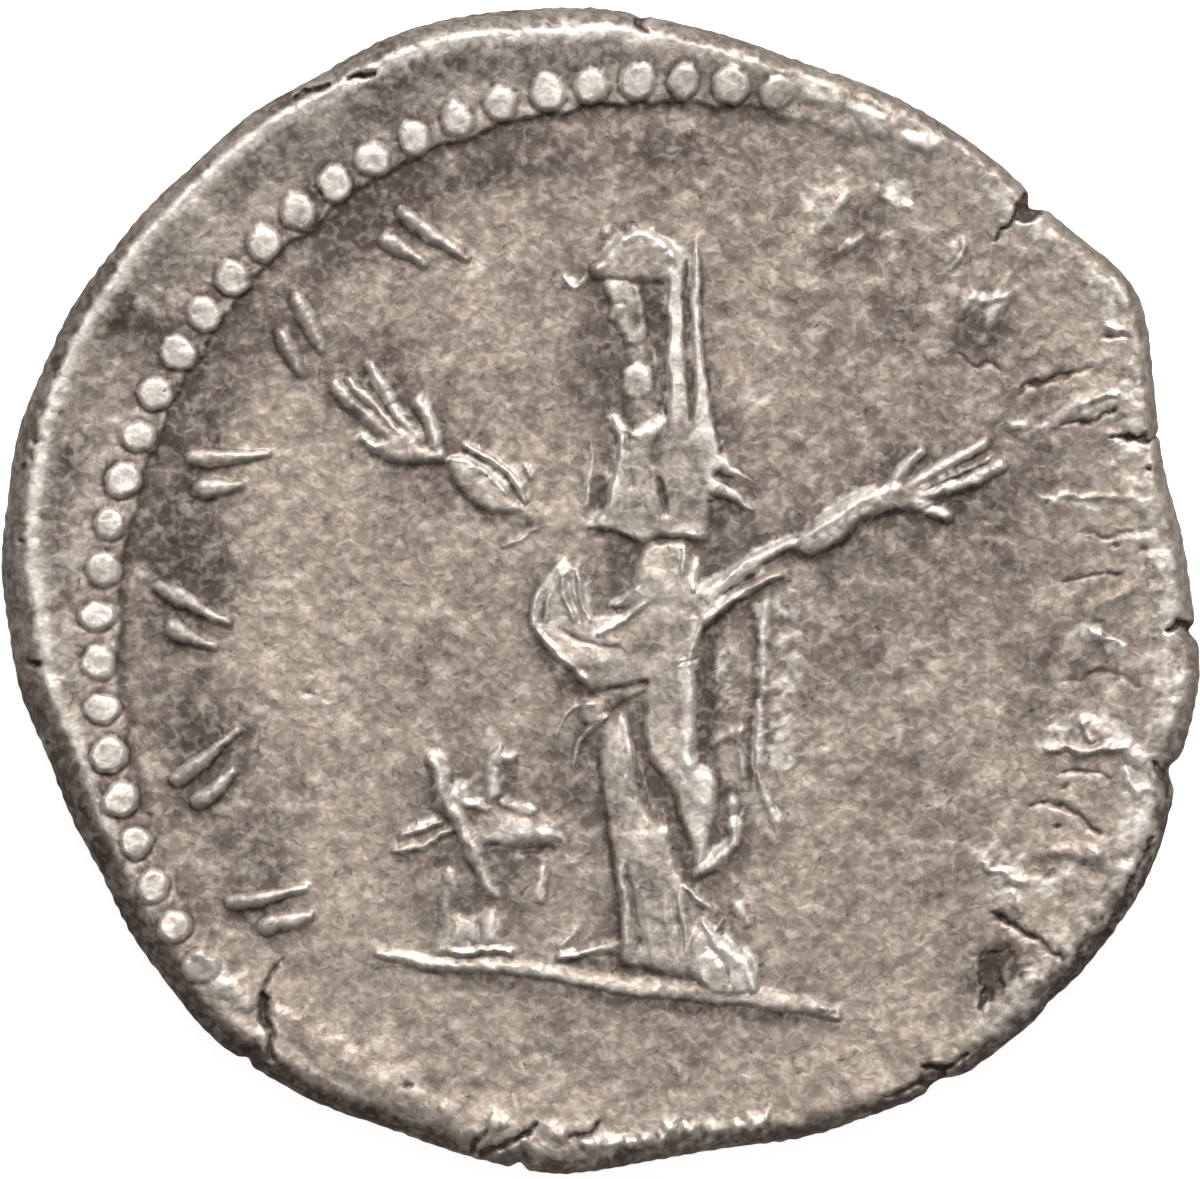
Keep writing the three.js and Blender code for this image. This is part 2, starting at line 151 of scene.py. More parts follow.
# Stage, in metres: half the table's side, and the height that the view is framed at.
TABLE_HALF = 0.6
FRAMED_HEIGHT = 0.8 * MM
# Width of the camera's sensor in millimetres.
SENSOR_WIDTH = 36.0
# Height in metres from which the punches are looked down on.
RAY_HEIGHT = 0.01


def bell(value, at, half_width):
    """Smooth bump of height 1 at a value."""
    return np.exp(-(((value - at) / half_width) ** 2))


def swells(table, angle):
    """Sum of smooth swells at angles in degrees."""
    total = np.zeros_like(angle)
    for at, half_width, rise in table:
        turn = np.abs((angle - at + 180.0) % 360.0 - 180.0)
        total += rise * bell(turn, 0, half_width)
    return total


def eased(value, low, high):
    """Smooth step of a value between two levels."""
    t = np.clip((value - low) / (high - low), 0, 1)
    return t * t * (3 - 2 * t)


def wave_noise(seed, angle, waves, low, high):
    """Unit noise round a circle: a sum of whole-numbered waves with fixed random phases."""
    rng = np.random.default_rng(seed)
    total = np.zeros_like(angle)
    for count in rng.integers(low, high, waves):
        total += np.sin(np.radians(angle) * count + rng.uniform(0, 2 * math.pi))
    return total / math.sqrt(waves / 2)


def smooth_line(points, closed=False, steps=6):
    """Points on a smooth line through the given ones, and each one's place along their list."""
    knots = np.array(points, float)
    count = len(knots)
    if count == 2 and not closed:
        place = np.linspace(0, 1, 3)
        return knots[0] + place[:, None] * (knots[1] - knots[0]), place
    spans = count if closed else count - 1
    place = np.linspace(0, spans, spans * steps + 1)
    first = np.minimum(place.astype(int), spans - 1)
    t = (place - first)[:, None]
    if closed:
        before, start, end, after = (knots[(first + k) % count] for k in (-1, 0, 1, 2))
    else:
        clip = [np.clip(first + k, 0, count - 1) for k in (-1, 0, 1, 2)]
        before, start, end, after = (knots[k] for k in clip)
    bend = 2 * before - 5 * start + 4 * end - after
    twist = 3 * (start - end) + after - before
    return 0.5 * (2 * start + t * (end - before) + t**2 * bend + t**3 * twist), place


def from_segment(x, y, start, end):
    """Distance of points from a straight segment, and how far along it each is, from 0 to 1."""
    tiny = 1e-12
    (ax, ay), (dx, dy) = start, end - start
    along = np.clip(((x - ax) * dx + (y - ay) * dy) / (dx * dx + dy * dy + tiny), 0, 1)
    return np.hypot(x - ax - along * dx, y - ay - along * dy), along


def grid_places(shift=(0.0, 0.0)):
    """Places of the grid's points, measured from a shifted middle."""
    columns = GRID_LOW[0] + CELL * np.arange(GRID_COLUMNS) - shift[0]
    rows = GRID_LOW[1] + CELL * np.arange(GRID_ROWS) - shift[1]
    return np.meshgrid(columns, rows)


class Relief:
    """Height of one face above its field, in millimetres, drawn in the die's own coordinates."""

    # Shares of a body's bevel that slopes and of its rise that it reaches, and fullness of a mound.
    SLOPE_SHARE = 0.6
    RISE_SHARE = 0.8
    MOUND_POWER = 0.8

    def __init__(self, shift=(0.0, 0.0)):
        self.shift = np.array(shift)
        self.rise = np.zeros((GRID_ROWS, GRID_COLUMNS))
        self.x, self.y = grid_places(self.shift)

    def window(self, low, high):
        """The part of the grid that a shape covers."""
        limit = np.array([GRID_COLUMNS, GRID_ROWS])
        first = np.clip(((low + self.shift - GRID_LOW) / CELL).astype(int), 0, limit)
        last = np.clip(((high + self.shift - GRID_LOW) / CELL).astype(int) + 2, 0, limit)
        return slice(first[1], last[1]), slice(first[0], last[0])

    def apply(self, area, shape, mode):
        """Raises the grid to a shape, adds the shape or cuts it away."""
        if mode == "raise":
            np.maximum(self.rise[area], shape, out=self.rise[area])
        elif mode == "add":
            self.rise[area] += shape
        else:
            self.rise[area] -= shape

    def ridge(self, points, widths, rise, mode="raise"):
        """A rounded ridge along a smooth line, with a width and a rise at each point or one for all."""
        line, place = smooth_line(points)
        knots = np.arange(len(points))
        half = np.interp(place, knots, np.broadcast_to(widths, len(points))) / 2
        tall = np.interp(place, knots, np.broadcast_to(rise, len(points)))
        area = self.window(line.min(0) - half.max(), line.max(0) + half.max())
        x, y = self.x[area], self.y[area]
        shape = np.zeros_like(x)
        for i in range(len(line) - 1):
            off, along = from_segment(x, y, line[i], line[i + 1])
            reach = half[i] + along * (half[i + 1] - half[i])
            top = tall[i] + along * (tall[i + 1] - tall[i])
            np.maximum(shape, top * np.clip(1 - (off / reach) ** 2, 0, None), out=shape)
        self.apply(area, shape, mode)

    def ridges(self, marks, mode="raise"):
        """Rounded ridges, each given as (points, widths, rise)."""
        for points, widths, rise in marks:
            self.ridge(points, widths, rise, mode)

    def folds(self, marks):
        """Rounded folds laid on whatever is under them, each (points, widths, rise)."""
        self.ridges(marks, "add")

    def grooves(self, marks):
        """Rounded grooves, each (points, widths, depth)."""
        self.ridges(marks, "cut")

    def fold(self, points, widths, rise):
        """One rounded fold."""
        self.ridge(points, widths, rise, "add")

    def groove(self, points, widths, depth):
        """One rounded groove."""
        self.ridge(points, widths, depth, "cut")

    def body(self, outline, rise, bevel, mode="raise"):
        """A raised area with a smooth outline and a rounded border."""
        line, _place = smooth_line(outline, closed=True, steps=4)
        area = self.window(line.min(0), line.max(0))
        x, y = self.x[area], self.y[area]
        inside = np.zeros(x.shape, bool)
        border = np.full(x.shape, np.inf)
        for start, end in zip(line[:-1], line[1:]):
            np.minimum(border, from_segment(x, y, start, end)[0], out=border)
            (ax, ay), (bx, by) = start, end
            if ay != by:
                inside ^= ((ay > y) != (by > y)) & (x < (bx - ax) * (y - ay) / (by - ay) + ax)
        slope = 1 - np.clip(border / (self.SLOPE_SHARE * bevel), 0, 1)
        self.apply(area, np.where(inside, self.RISE_SHARE * rise * (1 - slope**2), 0), mode)

    def mound(self, centre, radii, rise, turn=0.0, mode="raise"):
        """A smooth mound with two radii, turned in the plane of the face."""
        centre = np.array(centre)
        reach = max(radii)
        area = self.window(centre - reach, centre + reach)
        x, y = self.x[area] - centre[0], self.y[area] - centre[1]
        c, s = math.cos(math.radians(turn)), math.sin(math.radians(turn))
        out = ((c * x + s * y) / radii[0]) ** 2 + ((c * y - s * x) / radii[1]) ** 2
        self.apply(area, rise * np.clip(1 - out, 0, None) ** self.MOUND_POWER, mode)


def blurred(height, reach):
    """A height map softened over a reach in millimetres."""
    spectrum = np.fft.rfft2(height)
    rows = np.fft.fftfreq(height.shape[0])[:, None]
    columns = np.fft.rfftfreq(height.shape[1])[None, :]
    spectrum *= np.exp(-2 * (math.pi * reach / CELL) ** 2 * (rows**2 + columns**2))
    return np.fft.irfft2(spectrum, height.shape)


def mottle(seed, reach):
    """Seeded noise with unit spread, whose blots are about a reach in millimetres across."""
    noise = np.random.default_rng(seed).standard_normal((GRID_ROWS, GRID_COLUMNS))
    soft = blurred(noise, reach)
    return soft / soft.std()


def sampled(grid, x, y):
    """Values of a height map between its points."""
    just_inside = 1.001
    column = np.clip((x - GRID_LOW[0]) / CELL, 0, GRID_COLUMNS - just_inside)
    row = np.clip((y - GRID_LOW[1]) / CELL, 0, GRID_ROWS - just_inside)
    c, r = column.astype(int), row.astype(int)
    u, v = column - c, row - r
    top = grid[r + 1, c] * (1 - u) + grid[r + 1, c + 1] * u
    return (grid[r, c] * (1 - u) + grid[r, c + 1] * u) * (1 - v) + top * v


def head(die):
    """Head in profile to the left on plain proportions, with waved hair under a veil."""
    hair = [(-0.93, 6.18), (-0.77, 6.38), (-0.54, 6.56), (-0.26, 6.64), (0.03, 6.54), (0.26, 6.34),
            (0.38, 6.08), (0.38, 5.79), (-0.13, 5.74), (-0.61, 5.76), (-0.99, 5.82), (-1.09, 5.98)]
    die.body(hair, 0.17, 0.2)
    for spot, radius, rise in (((-0.61, 6.46), 0.14, 0.05), ((-0.37, 6.56), 0.15, 0.06),
                               ((-0.11, 6.5), 0.14, 0.06), ((0.11, 6.35), 0.13, 0.06),
                               ((0.26, 6.16), 0.14, 0.06), ((-0.96, 5.98), 0.12, 0.05)):
        die.mound(spot, (radius, radius * 0.8), rise, mode="add")
    for wave in range(3):
        back = 0.17 * wave
        die.groove([(-0.83 + back, 5.95), (-0.6 + 1.2 * back, 6.2), (-0.48 + back, 6.38)],
                   (0.04, 0.07, 0.04), 0.02)
    die.mound((-0.85, 6.53), (0.1, 0.1), 0.09)

    # The face is one third forehead, one third nose, and one third mouth and chin.
    third = 0.33
    front, hairline, lean = -0.88, 5.74, 0.09

    def at(depth, down):
        return (front + depth + lean * down, hairline - down * third)

    profile = [at(0.04, -0.1), at(0, 0.6), at(0.03, 1.05), at(-0.02, 1.5), at(-0.08, 1.88), at(0.03, 2.02),
               at(0.0, 2.22), at(0.04, 2.36), at(0.01, 2.5), at(0.06, 2.66), at(0.03, 2.86), at(0.1, 3.06),
               at(0.3, 3.0), at(0.5, 2.5), at(0.6, 1.6), at(0.6, 0.4), at(0.5, -0.1)]
    die.body(profile, 0.17, 0.13)
    die.groove([at(0.08, 1.12), at(0.26, 1.06)], (0.04, 0.07), 0.04)
    die.mound(at(0.17, 1.3), (0.07, 0.04), 0.02, mode="add")
    die.groove([at(0.03, 2.36), at(0.15, 2.38)], (0.04, 0.03), 0.03)
    die.groove([at(0.44, 0.2), at(0.46, 0.7)], 0.09, 0.04)

    die.ridge([(-0.35, 4.75), (-0.32, 4.11), (-0.26, 3.49)], (0.4, 0.44, 0.66), (0.09, 0.1, 0.11))
    die.body([(-0.58, 4.32), (-0.42, 4.45), (-0.13, 4.38), (-0.1, 4), (-0.32, 3.84), (-0.54, 3.94)],
             0.15, 0.1)
    die.groove([(-0.35, 4.19), (-0.32, 3.97)], 0.1, 0.03)
    die.fold([(-0.05, 4.67), (-0.02, 3.71)], (0.1, 0.08), 0.04)
    die.groove([(-0.06, 5.63), (-0.05, 5.18), (-0.1, 4.83)], (0.34, 0.36, 0.2), 0.06)
    die.groove([(-0.54, 4.67), (-0.74, 4.7)], 0.12, 0.02)
    die.ridge([(-0.9, 4.74), (-0.78, 4.78)], 0.12, 0.06)


def veil(die):
    """Veil falling behind the shoulder in two flat folds that flare out over the arm."""
    die.body([(0.13, 6.08), (0.4, 6.08), (0.42, 5.47), (0.42, 4.75), (0.46, 4.03), (0.58, 3.36),
              (0.51, 3.04), (0.13, 3.14), (0.13, 4.03), (0.14, 4.75), (0.16, 5.47)], 0.16, 0.08)
    die.body([(0.53, 6.24), (0.66, 6.27), (0.69, 5.47), (0.72, 4.75), (0.8, 4.03), (0.94, 3.39),
              (0.99, 2.98), (0.58, 3.04), (0.56, 3.55), (0.54, 4.75), (0.53, 5.47)], 0.16, 0.07)
    die.groove([(0.46, 6.05), (0.46, 5.47), (0.48, 4.75), (0.5, 4.11), (0.53, 3.52)],
               (0.1, 0.14, 0.11, 0.1, 0.06), 0.07)
    die.fold([(0.48, 5.23), (0.51, 4.99), (0.51, 3.87)], 0.05, 0.03)
    die.fold([(0.21, 5.98), (0.21, 4.75), (0.22, 3.55)], (0.1, 0.08, 0.1), 0.03)
    die.groove([(0.72, 5.95), (0.77, 4.75), (0.86, 3.87), (1.02, 3.23)], (0.06, 0.09, 0.1, 0.08), 0.05)
    die.ridge([(0.59, 6.18), (0.59, 6.43)], (0.1, 0.07), (0.08, 0.03))
    die.groove([(0.62, 6.27), (0.77, 6.56), (0.99, 6.98)], (0.08, 0.08, 0.04), 0.035)
    die.fold([(-1.54, 5.82), (-1.34, 5.65), (-1.17, 5.81)], (0.06, 0.1, 0.06), 0.06)


def tunic(die):
    """Chest with its neckline, the belted overfold and flaring sleeve folds."""
    chest = [(-0.74, 3.55), (-0.38, 3.38), (0.1, 3.55), (0.45, 3.62), (0.77, 3.71), (0.98, 3.14),
             (1.01, 2.75), (0.86, 2.19), (0.8, 1.62), (0.03, 1.63), (-0.29, 1.57), (-1.15, 1.82),
             (-0.93, 2.02), (-0.8, 2.46), (-0.7, 3.04)]
    die.body(chest, 0.16, 0.24)
    die.fold([(-0.7, 3.57), (-0.54, 3.44), (-0.38, 3.36), (-0.13, 3.46), (0.11, 3.58)],
             (0.08, 0.15, 0.2, 0.16, 0.1), 0.075)
    die.fold([(-0.62, 3.23), (-0.72, 2.59), (-0.8, 2.18), (-0.96, 1.97)], (0.08, 0.12, 0.12, 0.16), 0.06)
    die.groove([(-0.5, 3.33), (-0.51, 3.04)], (0.08, 0.05), 0.05)
    die.groove([(0.1, 3.39), (-0.03, 3.17), (-0.13, 2.86)], (0.16, 0.2, 0.05), 0.05)
    die.groove([(0, 2.61), (0.05, 2.43), (0.1, 2.24), (0.16, 2.05)], (0.1, 0.17, 0.13, 0.05), 0.09)
    die.groove([(-0.45, 2.75), (-0.43, 2.46)], (0.08, 0.05), 0.04)
    die.groove([(0.45, 2.02), (0.99, 1.92)], 0.6, 0.05)
    die.groove([(-1.2, 1.79), (-0.93, 1.78), (-0.64, 1.7), (-0.29, 1.54)], (0.05, 0.1, 0.11, 0.1), 0.14)
    die.groove([(0.02, 1.62), (0.4, 1.63), (0.8, 1.58)], (0.12, 0.09, 0.05), 0.12)

    die.body([(0.74, 3.2), (0.93, 3.04), (1.18, 2.88), (1.6, 2.46), (1.22, 2.61), (0.9, 2.72), (0.7, 2.78)],
             0.17, 0.12)
    die.body([(0.7, 2.72), (0.93, 2.64), (1.22, 2.46), (1.58, 2.08), (1.18, 2.24), (0.86, 2.34),
              (0.7, 2.37)], 0.17, 0.12)
    die.groove([(0.93, 2.67), (1.15, 2.56), (1.39, 2.42), (1.63, 2.29)], (0.05, 0.14, 0.13, 0.05), 0.15)
    die.groove([(0.77, 2.26), (1.02, 2.16), (1.28, 2.05), (1.55, 1.95)], (0.05, 0.14, 0.13, 0.05), 0.15)

    die.groove([(-0.86, 3.39), (-0.9, 2.75), (-0.94, 2.18)], (0.1, 0.2, 0.24), 0.05)
    die.groove([(-0.96, 2.46), (-0.96, 2.14)], 0.16, 0.05)
    die.fold([(-1.07, 3.23), (-1.1, 2.62), (-1.15, 2.14)], (0.06, 0.1, 0.08), 0.045)
    die.fold([(-0.9, 3.22), (-0.91, 2.69)], (0.07, 0.05), 0.035)


def mantle(die):
    """Mantle slung from the left arm across the hips, with curved folds and a loose tail."""
    swag = [(-1.57, 1.36), (-1.87, 0.99), (-2.02, 0.61), (-2.03, 0.21), (-1.81, -0.06), (-1.5, -0.38),
            (-1.12, -0.78), (-0.7, -0.77), (-0.21, -0.67), (0.54, -0.38), (0.62, -0.03), (0.8, 0.45),
            (1.09, 0.67), (0.99, 1.06), (0.62, 0.9), (0.58, 1.31), (0.45, 1.6), (-0.21, 1.57),
            (-0.42, 1.07), (-0.42, 0.77), (-0.64, 0.51), (-1.02, 0.45), (-1.12, 0.67), (-1.22, 1.09),
            (-1.38, 1.28)]
    die.body(swag, 0.14, 0.2)
    die.mound((0.06, 0.67), (0.5, 1.0), 0.04, 8, "add")
    die.mound((-0.74, -0.22), (0.6, 0.36), 0.03, 10, "add")
    folds = (
        ([(-1.57, 1.33), (-1.86, 0.98), (-1.97, 0.61), (-2, 0.26)], 0.1, 0.06),
        ([(-1.89, 0.13), (-1.7, -0.1), (-1.47, -0.34), (-1.15, -0.61)], 0.14, 0.06),
        ([(-1.58, 1.22), (-1.73, 0.8), (-1.79, 0.35)], 0.07, 0.04),
        ([(-1.55, 1.12), (-1.49, 0.74), (-1.36, 0.38)], 0.1, 0.06),
        ([(-1.28, 1.15), (-1.22, 0.72), (-1.1, 0.32)], 0.1, 0.06),
        ([(-0.93, 0.11), (-0.58, 0.34), (-0.24, 0.58)], 0.11, 0.06),
        ([(-0.67, 0.58), (-0.38, 0.83)], 0.14, 0.09),
        ([(-1.33, -0.32), (-1.09, -0.35), (-0.83, -0.29)], 0.22, 0.03),
    )
    die.folds(folds)
    grooves = (
        ([(-1.68, 0.99), (-1.81, 0.64), (-1.87, 0.29)], 0.06, 0.06),
        ([(-1.44, 0.99), (-1.36, 0.67), (-1.25, 0.32)], 0.07, 0.06),
        ([(-1.36, 1.12), (-1.31, 0.8)], 0.06, 0.05),
        ([(-0.99, 0.46), (-0.8, 0.48), (-0.58, 0.53)], 0.09, 0.07),
        ([(-1.57, 0.22), (-1.25, 0), (-0.93, -0.1), (-0.64, -0.13)], (0.05, 0.08, 0.09, 0.05), 0.05),
        ([(-0.86, -0.77), (-0.58, -0.77), (-0.18, -0.66)], (0.05, 0.12, 0.08), 0.14),
        ([(0.38, -0.38), (0.58, -0.29), (0.8, -0.13)], 0.07, 0.07),
        ([(-2.06, 0.1), (-1.82, -0.19), (-1.54, -0.54), (-1.09, -0.85)], (0.08, 0.18, 0.3, 0.1), 0.06),
        ([(-0.93, 0.99), (-0.58, 1.07)], 0.3, 0.02),
    )
    die.grooves(grooves)
    die.fold([(0.37, 1.12), (0.42, 1.58)], (0.08, 0.11), 0.06)
    die.fold([(0.54, 0.86), (0.62, 1.28)], (0.14, 0.11), 0.08)
    die.fold([(0.74, 0.45), (0.59, 0), (0.51, -0.35)], (0.18, 0.14, 0.12), 0.07)

    # Bunched cloth over the forearm.
    die.body([(0.51, 0.58), (0.86, 0.9), (1.25, 1.25), (1.73, 1.5), (2.21, 1.73), (2.3, 1.54), (1.89, 1.31),
              (1.5, 1.06), (1.09, 0.74), (0.74, 0.32)], 0.2, 0.16)
    die.fold([(0.64, 0.74), (0.99, 0.99), (1.31, 1.26), (2.11, 1.66)], (0.16, 0.18, 0.14, 0.1), 0.05)
    die.ridge([(0.7, 0.35), (1.06, 0.61), (1.44, 0.83), (1.97, 1.1)],
              (0.3, 0.28, 0.22, 0.1), (0.17, 0.17, 0.15, 0.08))
    die.groove([(0.93, 0.69), (1.33, 0.93), (1.98, 1.18)], (0.05, 0.09, 0.06), 0.08)
    die.groove([(1.66, 1.22), (1.92, 1.36), (2.16, 1.5)], (0.08, 0.16, 0.1), 0.1)
    die.groove([(0.72, 0.13), (0.99, 0.42), (1.33, 0.61), (1.58, 0.38)], (0.08, 0.2, 0.2, 0.06), 0.07)

    # The loose tail on the left.
    die.body([(-0.21, -0.7), (-0.74, -0.8), (-1.12, -0.93), (-1.25, -1.18), (-1.09, -1.31), (-0.74, -1.12),
              (-0.29, -0.9)], 0.09, 0.12)
    die.fold([(-0.99, -0.98), (-1.38, -1.1), (-1.62, -1.49)], (0.1, 0.1, 0.05), 0.06)
    die.fold([(-0.83, -1.18), (-1.09, -1.38), (-1.28, -1.65), (-1.39, -1.98)], (0.1, 0.13, 0.1, 0.05), 0.07)
    die.groove([(-0.21, -0.83), (-0.58, -1.02), (-0.9, -1.34)], (0.05, 0.09, 0.05), 0.07)
    die.groove([(-1.18, -1.18), (-1.41, -1.38), (-1.52, -1.65)], (0.05, 0.08, 0.05), 0.04)


def skirt(die):
    """Straight leg and bent leg under long folds, with the hem and the foot."""
    bent = [(-0.21, -0.42), (-0.24, -1.47), (-0.1, -2.02), (0.1, -2.26), (0.29, -2.69), (0.51, -3.25),
            (0.67, -3.74), (0.88, -3.01), (0.99, -2.51), (0.91, -2.08), (0.58, -1.89), (0.59, -0.32)]
    die.body(bent, 0.15, 0.22)
    straight = [(-0.96, -1.25), (-0.94, -1.89), (-0.93, -2.37), (-0.83, -3.04), (-0.74, -3.55),
                (-0.69, -4.13), (-0.62, -5.06), (-0.26, -5.22), (0.22, -5.34), (0.67, -5.38), (0.54, -4.77),
                (0.51, -4.26), (0.48, -3.92), (0.29, -3.55), (0.16, -3.06), (-0.1, -2.83), (-0.26, -2.42),
                (-0.34, -1.82), (-0.45, -1.22), (-0.7, -1.09)]
    die.body(straight, 0.14, 0.22)
    die.mound((-0.64, -2.05), (0.2, 0.8), 0.03, 4, "add")
    die.mound((-0.16, -3.65), (0.3, 0.8), 0.03, 14, "add")
    folds = (
        ([(-0.58, -1.18), (-0.5, -1.5), (-0.42, -1.92)], (0.12, 0.16, 0.08), 0.04),
        ([(-0.61, -3.65), (-0.54, -4.29), (-0.5, -5.02)], (0.1, 0.16, 0.16), 0.02),
        ([(-0.06, -2.83), (0.16, -3.07), (0.29, -3.57), (0.5, -4)], (0.1, 0.16, 0.16, 0.14), 0.035),
        ([(0.5, -0.38), (0.48, -1.33), (0.46, -1.95)], (0.36, 0.36, 0.3), 0.05),
        ([(0.51, -1.95), (0.67, -2.14), (0.74, -2.53)], (0.3, 0.5, 0.4), 0.04),
        ([(-0.29, -1.95), (-0.19, -2.37), (-0.08, -2.78)], (0.08, 0.12, 0.08), 0.04),
        ([(0.03, -2.66), (0.16, -3.07)], (0.1, 0.14), 0.04),
        ([(0.1, -4.13), (0.19, -4.77), (0.35, -5.28)], (0.08, 0.14, 0.1), 0.025),
        ([(-0.22, -4.13), (-0.13, -4.77), (0, -5.22)], (0.1, 0.14, 0.08), 0.025),
    )
    die.folds(folds)
    ridges = (
        ([(0.45, -3.9), (0.67, -4.13), (0.96, -4.35)], (0.12, 0.16, 0.04), (0.17, 0.16, 0.08)),
        ([(0.62, -3.68), (0.88, -3.52), (1.17, -3.23), (1.25, -2.98)],
         (0.2, 0.3, 0.3, 0.2), (0.13, 0.12, 0.11, 0.08)),
        ([(0.72, -4.53), (0.93, -4.85), (1.25, -5.09), (1.44, -5.31), (1.52, -5.55)],
         (0.2, 0.36, 0.4, 0.36, 0.24), 0.18),
        ([(0.51, -4.93), (0.72, -5.25)], (0.16, 0.08), 0.13),
        ([(0.99, -5.01), (0.78, -5.26)], (0.1, 0.06), 0.13),
        ([(1.26, -4.19), (1.42, -4.48)], (0.24, 0.2), 0.05),
        ([(0.94, -4.59), (1.04, -4.45)], 0.08, 0.1),
    )
    die.ridges(ridges)
    die.body([(0.45, -4.85), (0.72, -4.58), (1.02, -4.83), (1.44, -5.18), (1.58, -5.6), (0.74, -5.6)],
             0.17, 0.16)
    die.groove([(0.74, -4.83), (0.96, -5.12), (1.18, -5.47)], (0.06, 0.08, 0.05), 0.05)
    for spot, radius in (((1.17, -2.58), 0.14), ((1.2, -2.94), 0.13)):
        die.mound(spot, (radius, radius * 1.3), 0.1)
    grooves = (
        ([(-0.51, -3.58), (-0.42, -4.13), (-0.3, -4.8)], (0.05, 0.1, 0.06), 0.07),
        ([(0.27, -4.1), (0.38, -4.86)], (0.09, 0.07), 0.06),
        ([(-0.29, -1.92), (-0.16, -2.02), (-0.02, -2.24), (0.06, -2.42)], (0.06, 0.16, 0.28, 0.1), 0.15),
        ([(-0.42, -1.46), (-0.32, -1.82), (-0.22, -2.02)], (0.05, 0.08, 0.1), 0.1),
        ([(0.1, -2.43), (0.29, -2.94), (0.48, -3.52), (0.59, -3.87)], (0.1, 0.15, 0.16, 0.1), 0.07),
        ([(0.51, -4.21), (0.7, -4.3), (0.96, -4.42)], (0.08, 0.12, 0.05), 0.12),
        ([(0.86, -3.71), (0.9, -4.32)], (0.12, 0.1), 0.04),
        ([(0.93, -2.05), (1.04, -2.46), (1.02, -2.94)], (0.06, 0.12, 0.08), 0.05),
        ([(-0.93, -2.53), (-0.78, -3.33), (-0.7, -3.97), (-0.66, -4.93)], (0.05, 0.1, 0.1, 0.08), 0.04),
        ([(1.39, -4.93), (1.57, -5.22), (1.63, -5.54)], (0.06, 0.1, 0.06), 0.04),
        ([(-1.02, -5.15), (-0.53, -5.22), (0.1, -5.34)], (0.08, 0.16, 0.08), 0.06),
    )
    die.grooves(grooves)


def hanging_end(die):
    """End of the mantle hanging straight down from the right arm."""
    die.body([(0.86, 0.03), (1.06, 0.42), (1.44, 0.45), (1.5, -0.93), (1.5, -2.21), (1.31, -2.46),
              (0.99, -2.27), (0.86, -1.7)], 0.05, 0.12)
    folds = (
        ([(1.68, 0.59), (1.66, -0.13), (1.63, -0.99), (1.6, -1.92)], (0.2, 0.24, 0.22, 0.24), 0.06),
        ([(1.58, -2.11), (1.7, -2.42), (1.9, -2.88)], (0.16, 0.22, 0.14), 0.045),
        ([(0.61, -1.89), (0.83, -1.63), (1.34, -1.42)], (0.14, 0.22, 0.18), 0.045),
        ([(1.31, -1.46), (1.34, -2.14)], (0.16, 0.14), 0.035),
        ([(0.96, -0.21), (0.94, -0.8)], (0.1, 0.07), 0.03),
    )
    die.folds(folds)
    die.groove([(1.54, 0.48), (1.52, -0.93), (1.5, -2.4)], (0.09, 0.13, 0.1), 0.06)
    die.groove([(0.74, -0.1), (0.72, -0.93), (0.67, -1.82)], (0.22, 0.3, 0.18), 0.06)


